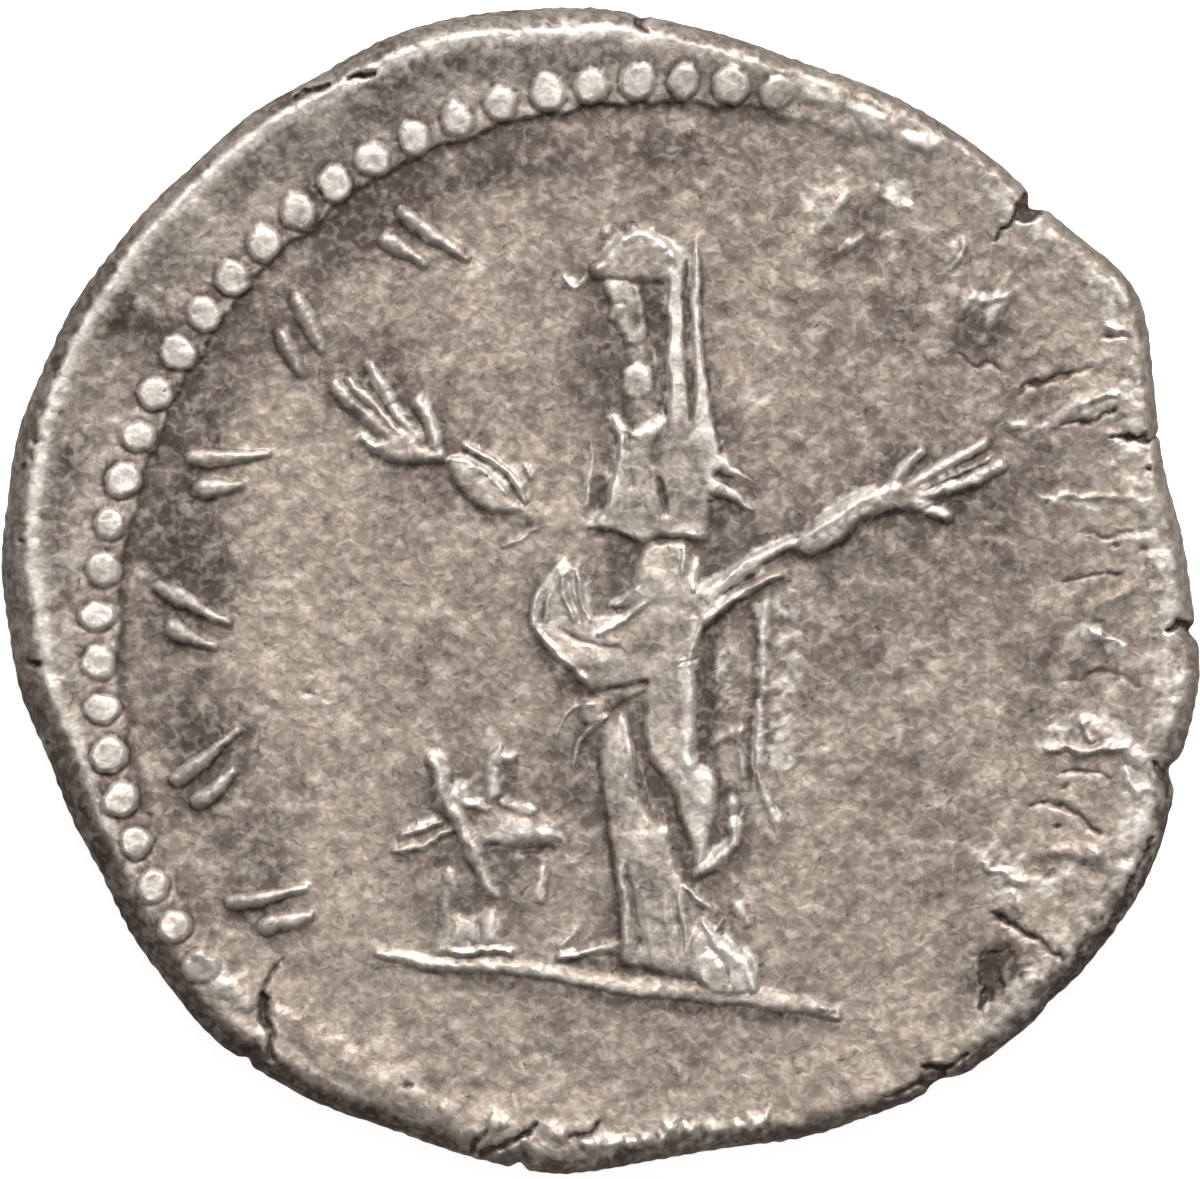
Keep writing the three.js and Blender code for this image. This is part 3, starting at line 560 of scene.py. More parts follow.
def left_arm(die):
    """Left arm in its sleeve, and the open hand with four fingers."""
    sleeve = [(-3.41, 2.94), (-3.12, 2.98), (-2.83, 2.82), (-2.5, 2.59), (-2.34, 2.37), (-2.08, 2.08),
              (-2.51, 2.02), (-2.85, 2.14), (-3.15, 2.37), (-3.33, 2.66)]
    die.body(sleeve, 0.15, 0.24)
    die.fold([(-3.34, 2.91), (-3.12, 2.94), (-2.85, 2.78), (-2.56, 2.58), (-2.42, 2.35)],
             (0.06, 0.1, 0.12, 0.12, 0.07), 0.06)
    ridges = (
        ([(-3.07, 3.14), (-2.77, 2.96), (-2.38, 2.72)], (0.1, 0.14, 0.1), 0.13),
        ([(-2.37, 2.69), (-2.22, 2.5), (-2.11, 2.22)], (0.12, 0.13, 0.07), 0.13),
        ([(-2.14, 2.83), (-2.06, 2.64)], (0.1, 0.05), 0.08),
        ([(-2.18, 2.08), (-1.63, 1.97), (-1.09, 1.92)], (0.3, 0.42, 0.36), 0.022),
        ([(-2.51, 1.49), (-2.24, 1.62), (-1.98, 1.78)], (0.06, 0.1, 0.06), 0.05),
        ([(-4.27, 3.26), (-4.77, 3.73), (-5.18, 4.13)], (0.34, 0.36, 0.28), 0.14),
        ([(-4.13, 3.33), (-4.54, 3.79), (-4.93, 4.19)], (0.22, 0.22, 0.18), 0.15),
        ([(-3.89, 3.3), (-4.24, 3.84), (-4.59, 4.38)], (0.34, 0.34, 0.26), 0.15),
        ([(-3.54, 3.1), (-3.63, 3.55), (-3.78, 3.87)], (0.32, 0.3, 0.26), 0.15),
    )
    die.ridges(ridges)
    palm = [(-4.82, 3.33), (-4.69, 3.07), (-4.37, 2.9), (-3.98, 2.82), (-3.63, 2.85), (-3.36, 2.91),
            (-3.39, 3.2), (-3.62, 3.14), (-3.81, 3.2), (-3.94, 3.39), (-4.16, 3.42), (-4.35, 3.31),
            (-4.56, 3.23)]
    die.body(palm, 0.19, 0.24)
    die.groove([(-4.32, 3.42), (-4.74, 3.84), (-5.06, 4.19)], (0.04, 0.06, 0.05), 0.06)
    die.groove([(-4.1, 3.42), (-4.45, 3.9), (-4.75, 4.35)], (0.04, 0.07, 0.05), 0.07)
    for spot in ((-4.75, 3.28), (-4.54, 3.14), (-3.2, 3.18)):
        die.mound(spot, (0.1, 0.1), 0.04, mode="add")
    die.groove([(-3.02, 3.02), (-2.69, 2.85), (-2.45, 2.66), (-2.34, 2.4)], (0.06, 0.1, 0.11, 0.06), 0.08)
    die.groove([(-3.36, 3.23), (-3.38, 2.86)], 0.08, 0.06)
    die.groove([(-3.14, 2.3), (-2.82, 2.08), (-2.45, 1.94), (-2.08, 1.95)], (0.06, 0.12, 0.16, 0.06), 0.05)
    die.groove([(-4.61, 2.94), (-4.21, 2.78), (-3.65, 2.77)], (0.06, 0.12, 0.08), 0.05)


def right_arm(die):
    """Bare right forearm and its open hand."""
    forearm = [(2.18, 1.73), (2.46, 1.94), (2.72, 2.14), (3.07, 2.38), (3.52, 2.56), (3.87, 2.62),
               (4.21, 2.5), (4.38, 2.3), (4, 2.11), (3.68, 2.05), (3.33, 1.89), (3.01, 1.57), (2.62, 1.36),
               (2.27, 1.34)]
    die.body(forearm, 0.2, 0.3)
    die.fold([(2.27, 1.66), (2.59, 1.79), (2.99, 2.08), (3.52, 2.45)], (0.1, 0.14, 0.14, 0.1), 0.03)
    fingers = (
        ([(3.71, 2.48), (3.89, 2.8), (4.18, 3.04)], (0.3, 0.28, 0.2), 0.14),
        ([(3.9, 2.45), (4.59, 2.82), (5.22, 3.17)], (0.3, 0.32, 0.26), 0.15),
        ([(4.06, 2.38), (4.61, 2.59), (5.25, 2.88)], (0.2, 0.2, 0.16), 0.12),
        ([(4.13, 2.3), (4.8, 2.51), (5.46, 2.8)], (0.3, 0.34, 0.28), 0.15),
        ([(3.94, 2.34), (4.29, 2.18), (4.61, 2.03)], (0.4, 0.4, 0.26), 0.15),
    )
    die.ridges(fingers)
    die.groove([(4.16, 2.51), (4.67, 2.75), (5.18, 3.02)], (0.04, 0.06, 0.05), 0.06)
    die.groove([(4.29, 2.42), (4.77, 2.61), (5.31, 2.86)], (0.04, 0.06, 0.05), 0.06)
    die.groove([(2.27, 1.31), (2.66, 1.36), (3.07, 1.55), (3.62, 1.98), (3.95, 2.03)],
               (0.05, 0.12, 0.16, 0.12, 0.06), 0.06)
    die.groove([(4.19, 2.11), (4.83, 2.34), (5.47, 2.62)], (0.06, 0.1, 0.05), 0.05)
    die.groove([(4, 2.14), (4.35, 2.02), (4.64, 1.89)], (0.05, 0.1, 0.05), 0.06)


def altar(die):
    """Small altar with a flame, a cornice and a base, and a leaning branch in front of it."""
    die.body([(-2.91, -2.72), (-2.53, -2.62), (-2.05, -2.66), (-1.54, -2.82), (-1.54, -3.14),
              (-2.18, -3.28), (-2.88, -3.3)], 0.12, 0.34)
    die.body([(-2.53, -3.3), (-1.79, -3.3), (-1.86, -4.16), (-2.43, -4.26)], 0.04, 0.3)
    die.body([(-3.33, -4.45), (-3.07, -4.32), (-2.75, -4.26), (-2.5, -4.38), (-2.43, -4.83),
              (-3.33, -4.86)], 0.09, 0.2)
    ridges = (
        ([(-3.58, -1.92), (-3.47, -2.29), (-3.25, -2.77), (-3.02, -3.17), (-2.9, -3.58), (-2.75, -3.89),
          (-2.53, -4.08)],
         (0.3, 0.34, 0.36, 0.36, 0.34, 0.28, 0.1), (0.15, 0.16, 0.15, 0.15, 0.15, 0.14, 0.08)),
        ([(-4.11, -3.1), (-3.81, -2.96), (-3.52, -2.82)], (0.08, 0.18, 0.14), 0.09),
        ([(-4.21, -3.36), (-3.81, -3.25), (-3.34, -3.04)], (0.1, 0.2, 0.16), 0.1),
        ([(-2.48, -1.66), (-2.58, -1.84), (-2.66, -2.05), (-2.61, -2.27), (-2.64, -2.46)],
         (0.12, 0.36, 0.24, 0.34, 0.24), 0.1),
        ([(-2.53, -1.86), (-2.3, -1.84)], (0.24, 0.2), 0.09),
        ([(-3.07, -2.59), (-2.67, -2.62)], (0.14, 0.16), 0.1),
        ([(-2.46, -2.54), (-2.26, -2.59), (-1.98, -2.69)], (0.14, 0.22, 0.1), 0.07),
        ([(-3.36, -3.68), (-3.38, -4.16), (-3.44, -4.83)], (0.24, 0.3, 0.34), 0.08),
        ([(-3.26, -4.91), (-2.75, -4.9), (-2.29, -4.93)], (0.12, 0.16, 0.1), 0.12),
        ([(-1.57, -5.02), (-1.09, -4.94), (-0.62, -4.85)], (0.16, 0.2, 0.22), 0.11),
        ([(-1.63, -4.91), (-1.39, -4.62)], (0.12, 0.1), 0.05),
        ([(-1.87, -3.58), (-1.87, -3.81), (-1.9, -4.08)], (0.26, 0.2, 0.24), 0.08),
    )
    die.ridges(ridges)
    die.fold([(-1.95, -2.99), (-1.79, -3.07), (-1.57, -3.1)], (0.14, 0.18, 0.12), 0.04)
    for spot, radius, rise in (((-3.1, -2.37), 0.22, 0.09), ((-2.27, -2.94), 0.24, 0.04),
                               ((-1.41, -3.47), 0.16, 0.06), ((-3.14, -4.61), 0.2, 0.04),
                               ((-2.7, -4.59), 0.24, 0.05)):
        die.mound(spot, (radius, radius), rise, mode="add")
    grooves = (
        ([(-2.74, -3.36), (-2.27, -3.34), (-1.76, -3.3)], (0.18, 0.18, 0.1), 0.07),
        ([(-2.43, -3.42), (-2.3, -3.74)], (0.3, 0.2), 0.05),
        ([(-3.06, -2.74), (-2.67, -2.75)], 0.08, 0.06),
        ([(-2.4, -2.72), (-1.98, -2.8)], 0.08, 0.05),
        ([(-2.32, -2.02), (-2.34, -2.27)], (0.18, 0.24), 0.045),
        ([(-3.02, -1.95), (-3.01, -2.11)], 0.16, 0.045),
        ([(-3.47, -3.2), (-3.46, -3.52)], 0.22, 0.05),
        ([(-3.81, -3.12), (-3.46, -2.98)], 0.08, 0.05),
        ([(-3.23, -5.02), (-2.3, -5.06)], 0.09, 0.05),
        ([(-2.62, -4.19), (-2.85, -4.06), (-3.07, -3.62)], (0.08, 0.14, 0.08), 0.06),
        ([(-2.94, -4.83), (-2.94, -4.48)], 0.1, 0.05),
        ([(-1.71, -3.62), (-1.71, -4)], 0.1, 0.05),
    )
    die.grooves(grooves)


def ground_line(die):
    """Line that the figure and the altar stand on, with the field sunk under it."""
    line = [(-4.48, -4.98), (-3.94, -5.06), (-3.55, -5.17), (-3.01, -5.17), (-2.26, -5.23), (-1.57, -5.34),
            (-1.09, -5.42), (-0.29, -5.55), (0.86, -5.65), (1.79, -5.76), (2.37, -5.82), (2.88, -6.02)]
    die.ridge(line, (0.16, 0.26, 0.3, 0.32, 0.32, 0.34, 0.34, 0.36, 0.38, 0.38, 0.34, 0.12), 0.09)
    under = [(x, y - 0.19) for x, y in line[1:]]
    die.groove(under, (0.1, 0.16, 0.2, 0.22, 0.22, 0.22, 0.22, 0.22, 0.2, 0.16, 0.06), 0.1)


def polish_marks(die):
    """Places on the figure, the altar and the ground line that wear has polished, from 0 to 1."""
    lines = (
        ([(0.22, 5.89), (0.27, 5.07), (0.24, 4.27), (0.27, 3.63)], 0.3, 0.9),
        ([(0.56, 6.14), (0.59, 5.5), (0.61, 4.83), (0.69, 4.06), (0.82, 3.47)],
         (0.14, 0.2, 0.22, 0.3, 0.3), 1.0),
        ([(-0.77, 6.34), (-0.42, 6.53), (0.03, 6.43), (0.29, 6.14)], (0.2, 0.3, 0.3, 0.3), 0.85),
        ([(0.7, 6.27), (0.93, 6.35)], 0.26, 0.5),
        ([(-1.46, 5.78), (-1.33, 5.68), (-1.2, 5.78)], 0.14, 0.9),
        ([(-0.51, 4.29), (-0.32, 4.38), (-0.13, 4.29)], 0.18, 0.8),
        ([(-0.7, 3.58), (-0.61, 3.42)], 0.2, 0.8),
        ([(-0.29, 3.36), (0.06, 3.57)], 0.22, 0.9),
        ([(-0.56, 3.26), (-0.69, 2.75), (-0.77, 2.27), (-1.02, 1.94)], (0.2, 0.26, 0.26, 0.2), 0.8),
        ([(0.74, 3.39), (0.9, 2.98), (1.12, 2.78), (1.47, 2.5)], (0.5, 0.4, 0.3, 0.1), 0.75),
        ([(0.8, 2.59), (1.09, 2.4), (1.44, 2.14)], (0.3, 0.24, 0.1), 0.75),
        ([(-1.06, 3.15), (-1.17, 2.24)], 0.12, 0.5),
        ([(-1.57, 1.28), (-1.76, 0.83)], 0.18, 0.75),
        ([(-1.87, 0.8), (-1.97, 0.3)], 0.14, 0.6),
        ([(-1.44, 0.99), (-1.33, 0.59), (-1.15, 0.35)], 0.14, 0.75),
        ([(-1.2, 0.99), (-1.12, 0.4)], 0.14, 0.75),
        ([(-0.64, 0.62), (-0.35, 0.8)], 0.26, 0.7),
        ([(-0.96, 0.19), (-0.29, 0.56)], 0.16, 0.75),
        ([(-1.79, 0.06), (-1.52, -0.34)], 0.2, 0.9),
        ([(-1.3, -0.42), (-0.82, -0.32)], 0.3, 0.5),
        ([(0.38, 1.54), (0.4, 1.38)], 0.16, 0.7),
        ([(0.58, 1.28), (0.53, 0.99)], 0.2, 0.9),
        ([(0.62, 0.78), (1.04, 0.99), (1.36, 1.18), (2.16, 1.63)], (0.3, 0.4, 0.44, 0.34), 0.95),
        ([(0.62, 0.38), (1.02, 0.67), (1.34, 0.83)], (0.3, 0.3, 0.2), 0.8),
        ([(0.56, 0.22), (0.61, -0.18)], 0.26, 0.7),
        ([(1.66, 0.54), (1.65, 0.03), (1.62, -0.42)], 0.24, 0.9),
        ([(1.6, -0.93), (1.58, -1.44), (1.6, -1.98)], (0.14, 0.24, 0.24), 0.9),
        ([(1.68, -2.37), (1.89, -2.78)], 0.18, 0.5),
        ([(1.79, -0.72), (2.16, -0.42)], 0.26, 0.5),
        ([(1.9, 0.62), (2.11, 0.48)], 0.3, 0.5),
        ([(1.86, 0.03), (2.24, 0.16)], 0.24, 0.45),
        ([(1.89, -1.41), (2.05, -1.6)], 0.34, 0.45),
        ([(1.02, -0.29), (1.09, -0.93)], (0.2, 0.34), 0.45),
        ([(0.51, -0.35), (0.5, -1.28), (0.46, -1.98)], 0.36, 1.0),
        ([(0.58, -2.03), (0.7, -2.43), (0.64, -2.78), (0.66, -3.52)],
         (0.5, 0.55, 0.36, 0.34), (0.9, 0.85, 0.6, 0.7)),
        ([(0.75, -3.5), (1.14, -3.2), (1.23, -2.99), (1.18, -2.58)], (0.26, 0.28, 0.28, 0.24), 0.8),
        ([(-0.26, -2.91), (0.08, -3.1)], 0.3, 0.4),
        ([(-0.58, -1.22), (-0.5, -1.6)], 0.18, 0.45),
        ([(0.53, -4.02), (0.88, -4.29)], 0.22, 0.6),
        ([(0.69, -4.54), (0.96, -4.8), (1.34, -5.18), (1.54, -5.54)], (0.36, 0.6, 0.6, 0.4), 0.9),
        ([(0.58, -5.02), (0.69, -5.3)], 0.3, 0.6),
        ([(1.33, -4.26), (1.41, -4.45)], 0.28, 0.5),
        ([(-4.94, 4.18), (-4.56, 3.78), (-4.27, 3.49)], 0.16, 0.8),
        ([(-4.61, 4.38), (-4.32, 3.87), (-4, 3.41), (-3.74, 3.22)], (0.26, 0.26, 0.24, 0.16), 0.75),
        ([(-3.76, 3.84), (-3.65, 3.62), (-3.52, 3.26)], (0.26, 0.22, 0.18), 0.9),
        ([(-4.75, 3.28), (-4.51, 3.12)], 0.2, 0.5),
        ([(-3.34, 2.91), (-2.96, 2.93), (-2.62, 2.69), (-2.42, 2.42)], 0.18, 0.8),
        ([(-3.06, 3.14), (-2.67, 2.9), (-2.35, 2.69), (-2.16, 2.34)], (0.16, 0.18, 0.18, 0.14), 0.9),
        ([(-2.13, 2.8), (-2.06, 2.64)], 0.2, 0.8),
        ([(2.26, 1.65), (2.72, 1.95), (3.01, 2.21), (3.38, 2.38), (3.74, 2.51)],
         (0.3, 0.36, 0.36, 0.28, 0.22), 0.65),
        ([(3.81, 2.64), (3.95, 2.88), (4.16, 3.01)], 0.2, 0.9),
        ([(4.1, 2.53), (4.61, 2.83), (5.17, 3.14)], 0.22, 0.8),
        ([(4.22, 2.38), (4.8, 2.54), (5.41, 2.78)], 0.24, 0.8),
        ([(4.1, 2.27), (4.32, 2.14), (4.54, 2.06)], 0.26, 0.75),
        ([(-3.52, -1.82), (-3.47, -2.18)], 0.3, 0.85),
        ([(-3.97, -3.02), (-3.62, -2.83)], 0.18, 0.75),
        ([(-2.5, -1.73), (-2.61, -1.92), (-2.66, -2.14), (-2.62, -2.4)], (0.12, 0.24, 0.16, 0.2), 0.7),
        ([(-3.17, -2.32), (-3.06, -2.51)], 0.3, 0.75),
        ([(-2.46, -2.56), (-2.06, -2.67)], 0.2, 0.6),
        ([(-2.45, -2.99), (-2, -3.06), (-1.57, -3.12)], (0.36, 0.3, 0.26), 0.5),
        ([(-1.86, -3.62), (-1.89, -4.08)], 0.2, 0.75),
        ([(-2.9, -4.61), (-2.56, -4.74)], 0.36, 0.55),
        ([(-3.23, -4.9), (-2.32, -4.93)], 0.16, 0.45),
        ([(-1.54, -5.02), (-0.66, -4.88)], 0.24, 0.5),
        ([(2.4, 6.98), (2.88, 7.3)], (0.5, 0.7), 0.46),
        ([(3.55, 7.36), (3.94, 7.07)], 0.5, 0.46),
        ([(2.56, 6.66), (3.01, 6.46)], 0.3, 0.4),
        ([(4.83, 6.37), (4.74, 5.98)], (0.3, 0.44), 0.55),
        ([(5.02, 5.44), (5.63, 5.47)], (0.46, 0.3), 0.55),
        ([(2.4, 8.8), (2.82, 8.67)], 0.4, 0.6),
        ([(3.14, 8.45), (3.62, 8.19)], (0.4, 0.5), 0.6),
        ([(3.97, 8.1), (4.29, 7.9)], 0.44, 0.56),
        ([(5.5, 3.52), (6.18, 3.46), (7.26, 3.97)], (0.2, 0.3, 0.24), 0.45),
        ([(6.18, 2.22), (6.59, 2.3), (7.01, 2.18)], 0.24, 0.5),
        ([(6.62, 0.32), (7.01, 0.13), (7.46, -0.19)], 0.3, 0.45),
        ([(6.18, -1.63), (6.53, -1.31)], (0.5, 0.7), 0.56),
        ([(7.04, -1.28), (7.39, -1.54)], 0.6, 0.56),
        ([(7.71, -1.79), (7.94, -2.02)], 0.5, 0.56),
        ([(7.55, -2.18), (7.74, -2.69), (7.23, -3.14)], (0.5, 0.5, 0.3), 0.52),
        ([(5.22, -3.36), (5.5, -3.58), (5.6, -4)], (0.5, 0.7, 0.5), 0.58),
        ([(1.31, 3.84), (1.7, 3.94)], 0.36, 0.42),
        ([(2.21, -0.35), (1.95, -0.93), (1.98, -1.76)], (0.5, 0.4, 0.6), 0.48),
        ([(6.11, -3.97), (6.69, -3.58)], 0.5, 0.5),
        ([(-7.23, -5.02), (-6.82, -5.44)], (0.3, 0.5), 0.5),
    )
    die.ridges(lines)
    return die.rise


def shadow_marks(die):
    """Places beside, under and between the raised forms where shadow is painted dark, from 0 to 1."""
    lines = (
        ([(0.45, 5.98), (0.45, 5.07), (0.48, 4.16), (0.54, 3.49)], 0.16, 0.6),
        ([(0.67, 5.76), (0.74, 4.7), (0.88, 3.68), (1.01, 3.04)], 0.1, 0.7),
        ([(0.96, 2.62), (1.2, 2.5), (1.58, 2.34)], (0.16, 0.2, 0.12), 1.0),
        ([(0.8, 2.24), (1.15, 2.13), (1.52, 1.98)], (0.12, 0.18, 0.12), 1.0),
        ([(1.25, 2.8), (1.54, 2.56)], 0.14, 0.8),
        ([(-0.03, 3.18), (-0.1, 2.91)], 0.28, 0.4),
        ([(0.03, 2.59), (0.13, 2.18)], 0.2, 0.6),
        ([(-0.93, 2.56), (-0.96, 2.18)], 0.34, 0.9),
        ([(-1.15, 1.82), (-0.74, 1.73), (-0.29, 1.57)], 0.14, 0.9),
        ([(0.51, 2.08), (0.9, 1.89)], 0.5, 0.45),
        ([(-2.02, 0.08), (-1.71, -0.42), (-1.41, -0.67), (-1.06, -0.83)], (0.16, 0.24, 0.34, 0.14), 1.0),
        ([(-1.02, -0.82), (-0.61, -0.77), (-0.24, -0.69)], 0.14, 1.0),
        ([(-0.98, 0.46), (-0.61, 0.51)], 0.12, 0.7),
        ([(-1.81, 0.83), (-1.87, 0.32)], 0.1, 0.6),
        ([(-1.3, 0.91), (-1.22, 0.48)], 0.09, 0.6),
        ([(0.77, 0.16), (1.09, 0.46), (1.31, 0.58), (1.52, 0.42), (1.58, 0)],
         (0.2, 0.26, 0.26, 0.2, 0.12), 1.0),
        ([(0.75, 0.03), (0.75, -0.61), (0.74, -1.28), (0.66, -1.76)], (0.3, 0.4, 0.4, 0.24), 0.8),
        ([(1.55, 0.32), (1.55, -0.61), (1.47, -1.57), (1.44, -2.3)], 0.14, 0.7),
        ([(0.51, -0.27), (0.85, -0.08)], 0.1, 0.6),
        ([(1.7, 1.26), (2.03, 1.42), (2.37, 1.34)], (0.14, 0.24, 0.2), 0.9),
        ([(1.06, 0.77), (1.47, 0.9), (1.94, 0.99)], 0.14, 0.7),
        ([(-0.27, -1.79), (-0.11, -2.11), (0.03, -2.34)], (0.12, 0.28, 0.3), 1.0),
        ([(-0.05, -2.46), (0, -2.78)], 0.1, 0.7),
        ([(0.26, -2.62), (0.43, -3.46), (0.54, -4.1)], (0.16, 0.28, 0.14), 0.6),
        ([(0.93, -2.02), (1.02, -2.69)], 0.16, 0.7),
        ([(0.83, -3.68), (0.9, -4.26)], 0.22, 0.6),
        ([(-0.93, -1.94), (-0.83, -3.09), (-0.7, -3.79), (-0.64, -4.85)], 0.13, 0.9),
        ([(-0.53, -3.68), (-0.4, -4.51), (-0.34, -4.85)], 0.12, 0.6),
        ([(0.29, -4.26), (0.4, -4.86), (0.54, -5.31)], 0.12, 0.5),
        ([(-1.54, -5.07), (-0.58, -5.15), (0.03, -5.26)], 0.18, 0.9),
        ([(1.57, -4.93), (1.66, -5.31)], 0.16, 0.7),
        ([(-4.67, 3.04), (-4.37, 2.85), (-4, 2.8), (-3.49, 2.82)], (0.12, 0.2, 0.16, 0.1), 1.0),
        ([(-4.99, 3.89), (-4.46, 3.38)], 0.12, 0.6),
        ([(-4.27, 4.19), (-3.9, 3.42)], 0.1, 0.6),
        ([(-3.79, 3.63), (-3.68, 3.3)], 0.14, 0.5),
        ([(-3.39, 3.2), (-3.41, 2.86)], 0.12, 0.7),
        ([(-3.1, 3.06), (-2.61, 2.8), (-2.4, 2.59), (-2.3, 2.37)], 0.12, 0.8),
        ([(-3.34, 2.66), (-3.07, 2.3), (-2.75, 2.02), (-2.08, 1.89)], (0.1, 0.18, 0.3, 0.2), 0.7),
        ([(2.21, 1.31), (2.59, 1.36), (2.93, 1.58), (3.38, 1.98), (3.76, 2.1), (4.13, 2.02), (4.7, 1.94)],
         (0.2, 0.26, 0.28, 0.28, 0.22, 0.2, 0.12), 1.0),
        ([(3.95, 2.62), (4.32, 2.82)], 0.12, 0.6),
        ([(4.22, 2.45), (4.9, 2.7), (5.22, 2.91)], 0.09, 0.8),
        ([(4.32, 2.29), (4.9, 2.46), (5.44, 2.67)], 0.12, 0.9),
        ([(3.68, 2.64), (3.86, 2.93), (4.13, 3.09)], 0.14, 0.6),
        ([(-2.75, -3.31), (-2.21, -3.34), (-1.57, -3.22)], 0.2, 0.9),
        ([(-2.66, -3.46), (-2.46, -3.9)], 0.4, 0.5),
        ([(-2.35, -1.98), (-2.35, -2.34)], 0.36, 0.5),
        ([(-3.06, -1.92), (-3.04, -2.14)], 0.22, 0.5),
        ([(-3.65, -2.18), (-3.2, -3.17), (-2.82, -4.08)], 0.1, 0.7),
        ([(-3.54, -3.14), (-3.5, -3.49)], 0.26, 0.6),
        ([(-3.97, -3.1), (-3.46, -2.94)], 0.1, 0.8),
        ([(-4.35, -5.2), (-3.44, -5.31), (-2.1, -5.49), (-0.29, -5.78), (1.79, -5.98), (2.88, -6.18)],
         (0.1, 0.2, 0.24, 0.24, 0.22, 0.1), 1.0),
    )
    die.ridges(lines)
    return die.rise


def bust(die):
    """Plain draped bust to the right on the hidden face, on plain proportions."""
    die.body([(-1.6, 0.4), (-1.5, -2.4), (-2.2, -4.2), (1.2, -4.2), (0.5, -2.4), (1.0, -0.4)], 0.17, 0.5)
    die.body([(-3.9, -5.4), (-2.6, -4.4), (-0.4, -4.1), (1.8, -4.2), (2.8, -5.0), (1.6, -6.0),
              (-2.4, -6.2)], 0.16, 0.4)
    for fold in range(5):
        drop = 0.38 * fold
        die.ridge([(-3.5 + 0.3 * fold, -4.5 - 0.9 * drop), (-1.9, -4.75 - drop), (-0.3, -4.9 - drop),
                   (1.4, -4.5 - drop), (2.5 - 0.2 * fold, -4.1 - 1.1 * drop)],
                  (0.14, 0.26, 0.3, 0.26, 0.14), 0.2)

    # The face is one third forehead, one third nose, and one third mouth and chin.
    third, chin_line, front = 1.5, -0.95, 1.95

    def at(forward, thirds):
        return (front + forward, chin_line + thirds * third)

    profile = [at(-0.25, 3.1), at(0.02, 2.4), at(-0.05, 2.0), at(0.34, 1.4), at(0.62, 1.14), at(0.2, 1.0),
               at(0.26, 0.8), at(0.08, 0.66), at(0.2, 0.52), at(-0.06, 0.38), at(0.02, 0.14),
               at(-0.3, -0.1), (0.9, chin_line + 0.05), (-0.5, 0.4), (-0.9, 1.6), (-0.4, 3.4), (0.9, 4.1)]
    die.body(profile, 0.2, 0.55)
    # The cheek stands a little past the resting plane, so that wear has left it flat.
    die.mound((0.4, 0.6), (1.5, 1.7), OBVERSE_DEPTH + 0.012)
    die.body([(1.7, 3.6), (0.9, 4.6), (-0.8, 5.0), (-2.4, 4.2), (-3.3, 2.4), (-3.1, 0.6), (-1.9, 0.2),
              (-0.9, 0.6), (-0.5, 1.9), (0.5, 2.9)], 0.2, 0.4)
    for t in np.linspace(0, 1, 7):
        die.ridge([(1.7 - 1.9 * t, 3.7 - 2.2 * t), (0.4 - 1.5 * t, 4.4 - 2.5 * t),
                   (-1.2 - 0.6 * t, 4.5 - 2.9 * t), (-2.5 + 0.2 * t, 3.2 - 2.0 * t), (-3.0, 1.2 - 0.2 * t)],
                  (0.2, 0.3, 0.34, 0.3, 0.16), 0.225)
    die.mound((-3.3, 0.9), (0.85, 0.95), 0.2)
    for ring in range(3):
        die.ridge([(-3.9 + 0.3 * ring, 0.5), (-3.5 + 0.25 * ring, 1.5), (-2.9 + 0.1 * ring, 1.4)],
                  0.16, 0.21)
    eye = at(-0.6, 1.8)
    die.ridge([at(-0.05, 2.05), at(-0.9, 2.12)], (0.2, 0.1), 0.215)
    die.mound(eye, (0.3, 0.16), 0.215)
    die.groove([(eye[0] - 0.4, eye[1] - 0.02), (eye[0], eye[1] - 0.2), (eye[0] + 0.3, eye[1] - 0.1)],
               0.07, 0.04)
    die.groove([at(0.1, 0.66), at(-0.45, 0.64)], 0.08, 0.05)
    die.ridge([(-0.55, 1.9), (-0.85, 1.5), (-0.65, 1.05), (-0.4, 0.9)], (0.18, 0.2, 0.18, 0.16), 0.23)


def punch_tree(name, counts, sizes):
    """An empty geometry node tree with named inputs for its counts and its sizes."""
    tree = bpy.data.node_groups.new(name, "GeometryNodeTree")
    tree.interface.new_socket("Geometry", in_out="OUTPUT", socket_type="NodeSocketGeometry")
    for labels, kind in ((counts, "NodeSocketInt"), (sizes, "NodeSocketFloat")):
        for label in labels:
            tree.interface.new_socket(label, in_out="INPUT", socket_type=kind)
    return tree


def node(tree, kind, **values):
    """A node with its properties set, and its sockets given values or links from other nodes."""
    made = tree.nodes.new(kind)
    for key, value in values.items():
        label = key.replace("_", " ")
        if isinstance(value, bpy.types.Node):
            value = value.outputs[0]
        if isinstance(value, bpy.types.NodeSocket):
            tree.links.new(value, made.inputs[label])
        elif hasattr(made, key):
            setattr(made, key, value)
        else:
            made.inputs[label].default_value = value
    return made


def vector_node(tree, **parts):
    """A node that joins numbers or sockets into a vector."""
    return node(tree, "ShaderNodeCombineXYZ", **parts)


def maths_node(tree, operation, first, second):
    """Output of a maths node that takes two numbers or sockets."""
    made = node(tree, "ShaderNodeMath", operation=operation)
    for socket, value in zip(made.inputs, (first, second)):
        if isinstance(value, float):
            socket.default_value = value
        else:
            tree.links.new(value, socket)
    return made.outputs[0]


def finish_tree(tree, geometry, material):
    """The tree, once its instances are realized, given their material and sent to the output."""
    realize = node(tree, "GeometryNodeRealizeInstances", Geometry=geometry)
    paint = node(tree, "GeometryNodeSetMaterial", Geometry=realize, Material=material)
    node(tree, "NodeGroupOutput", Geometry=paint)
    return tree


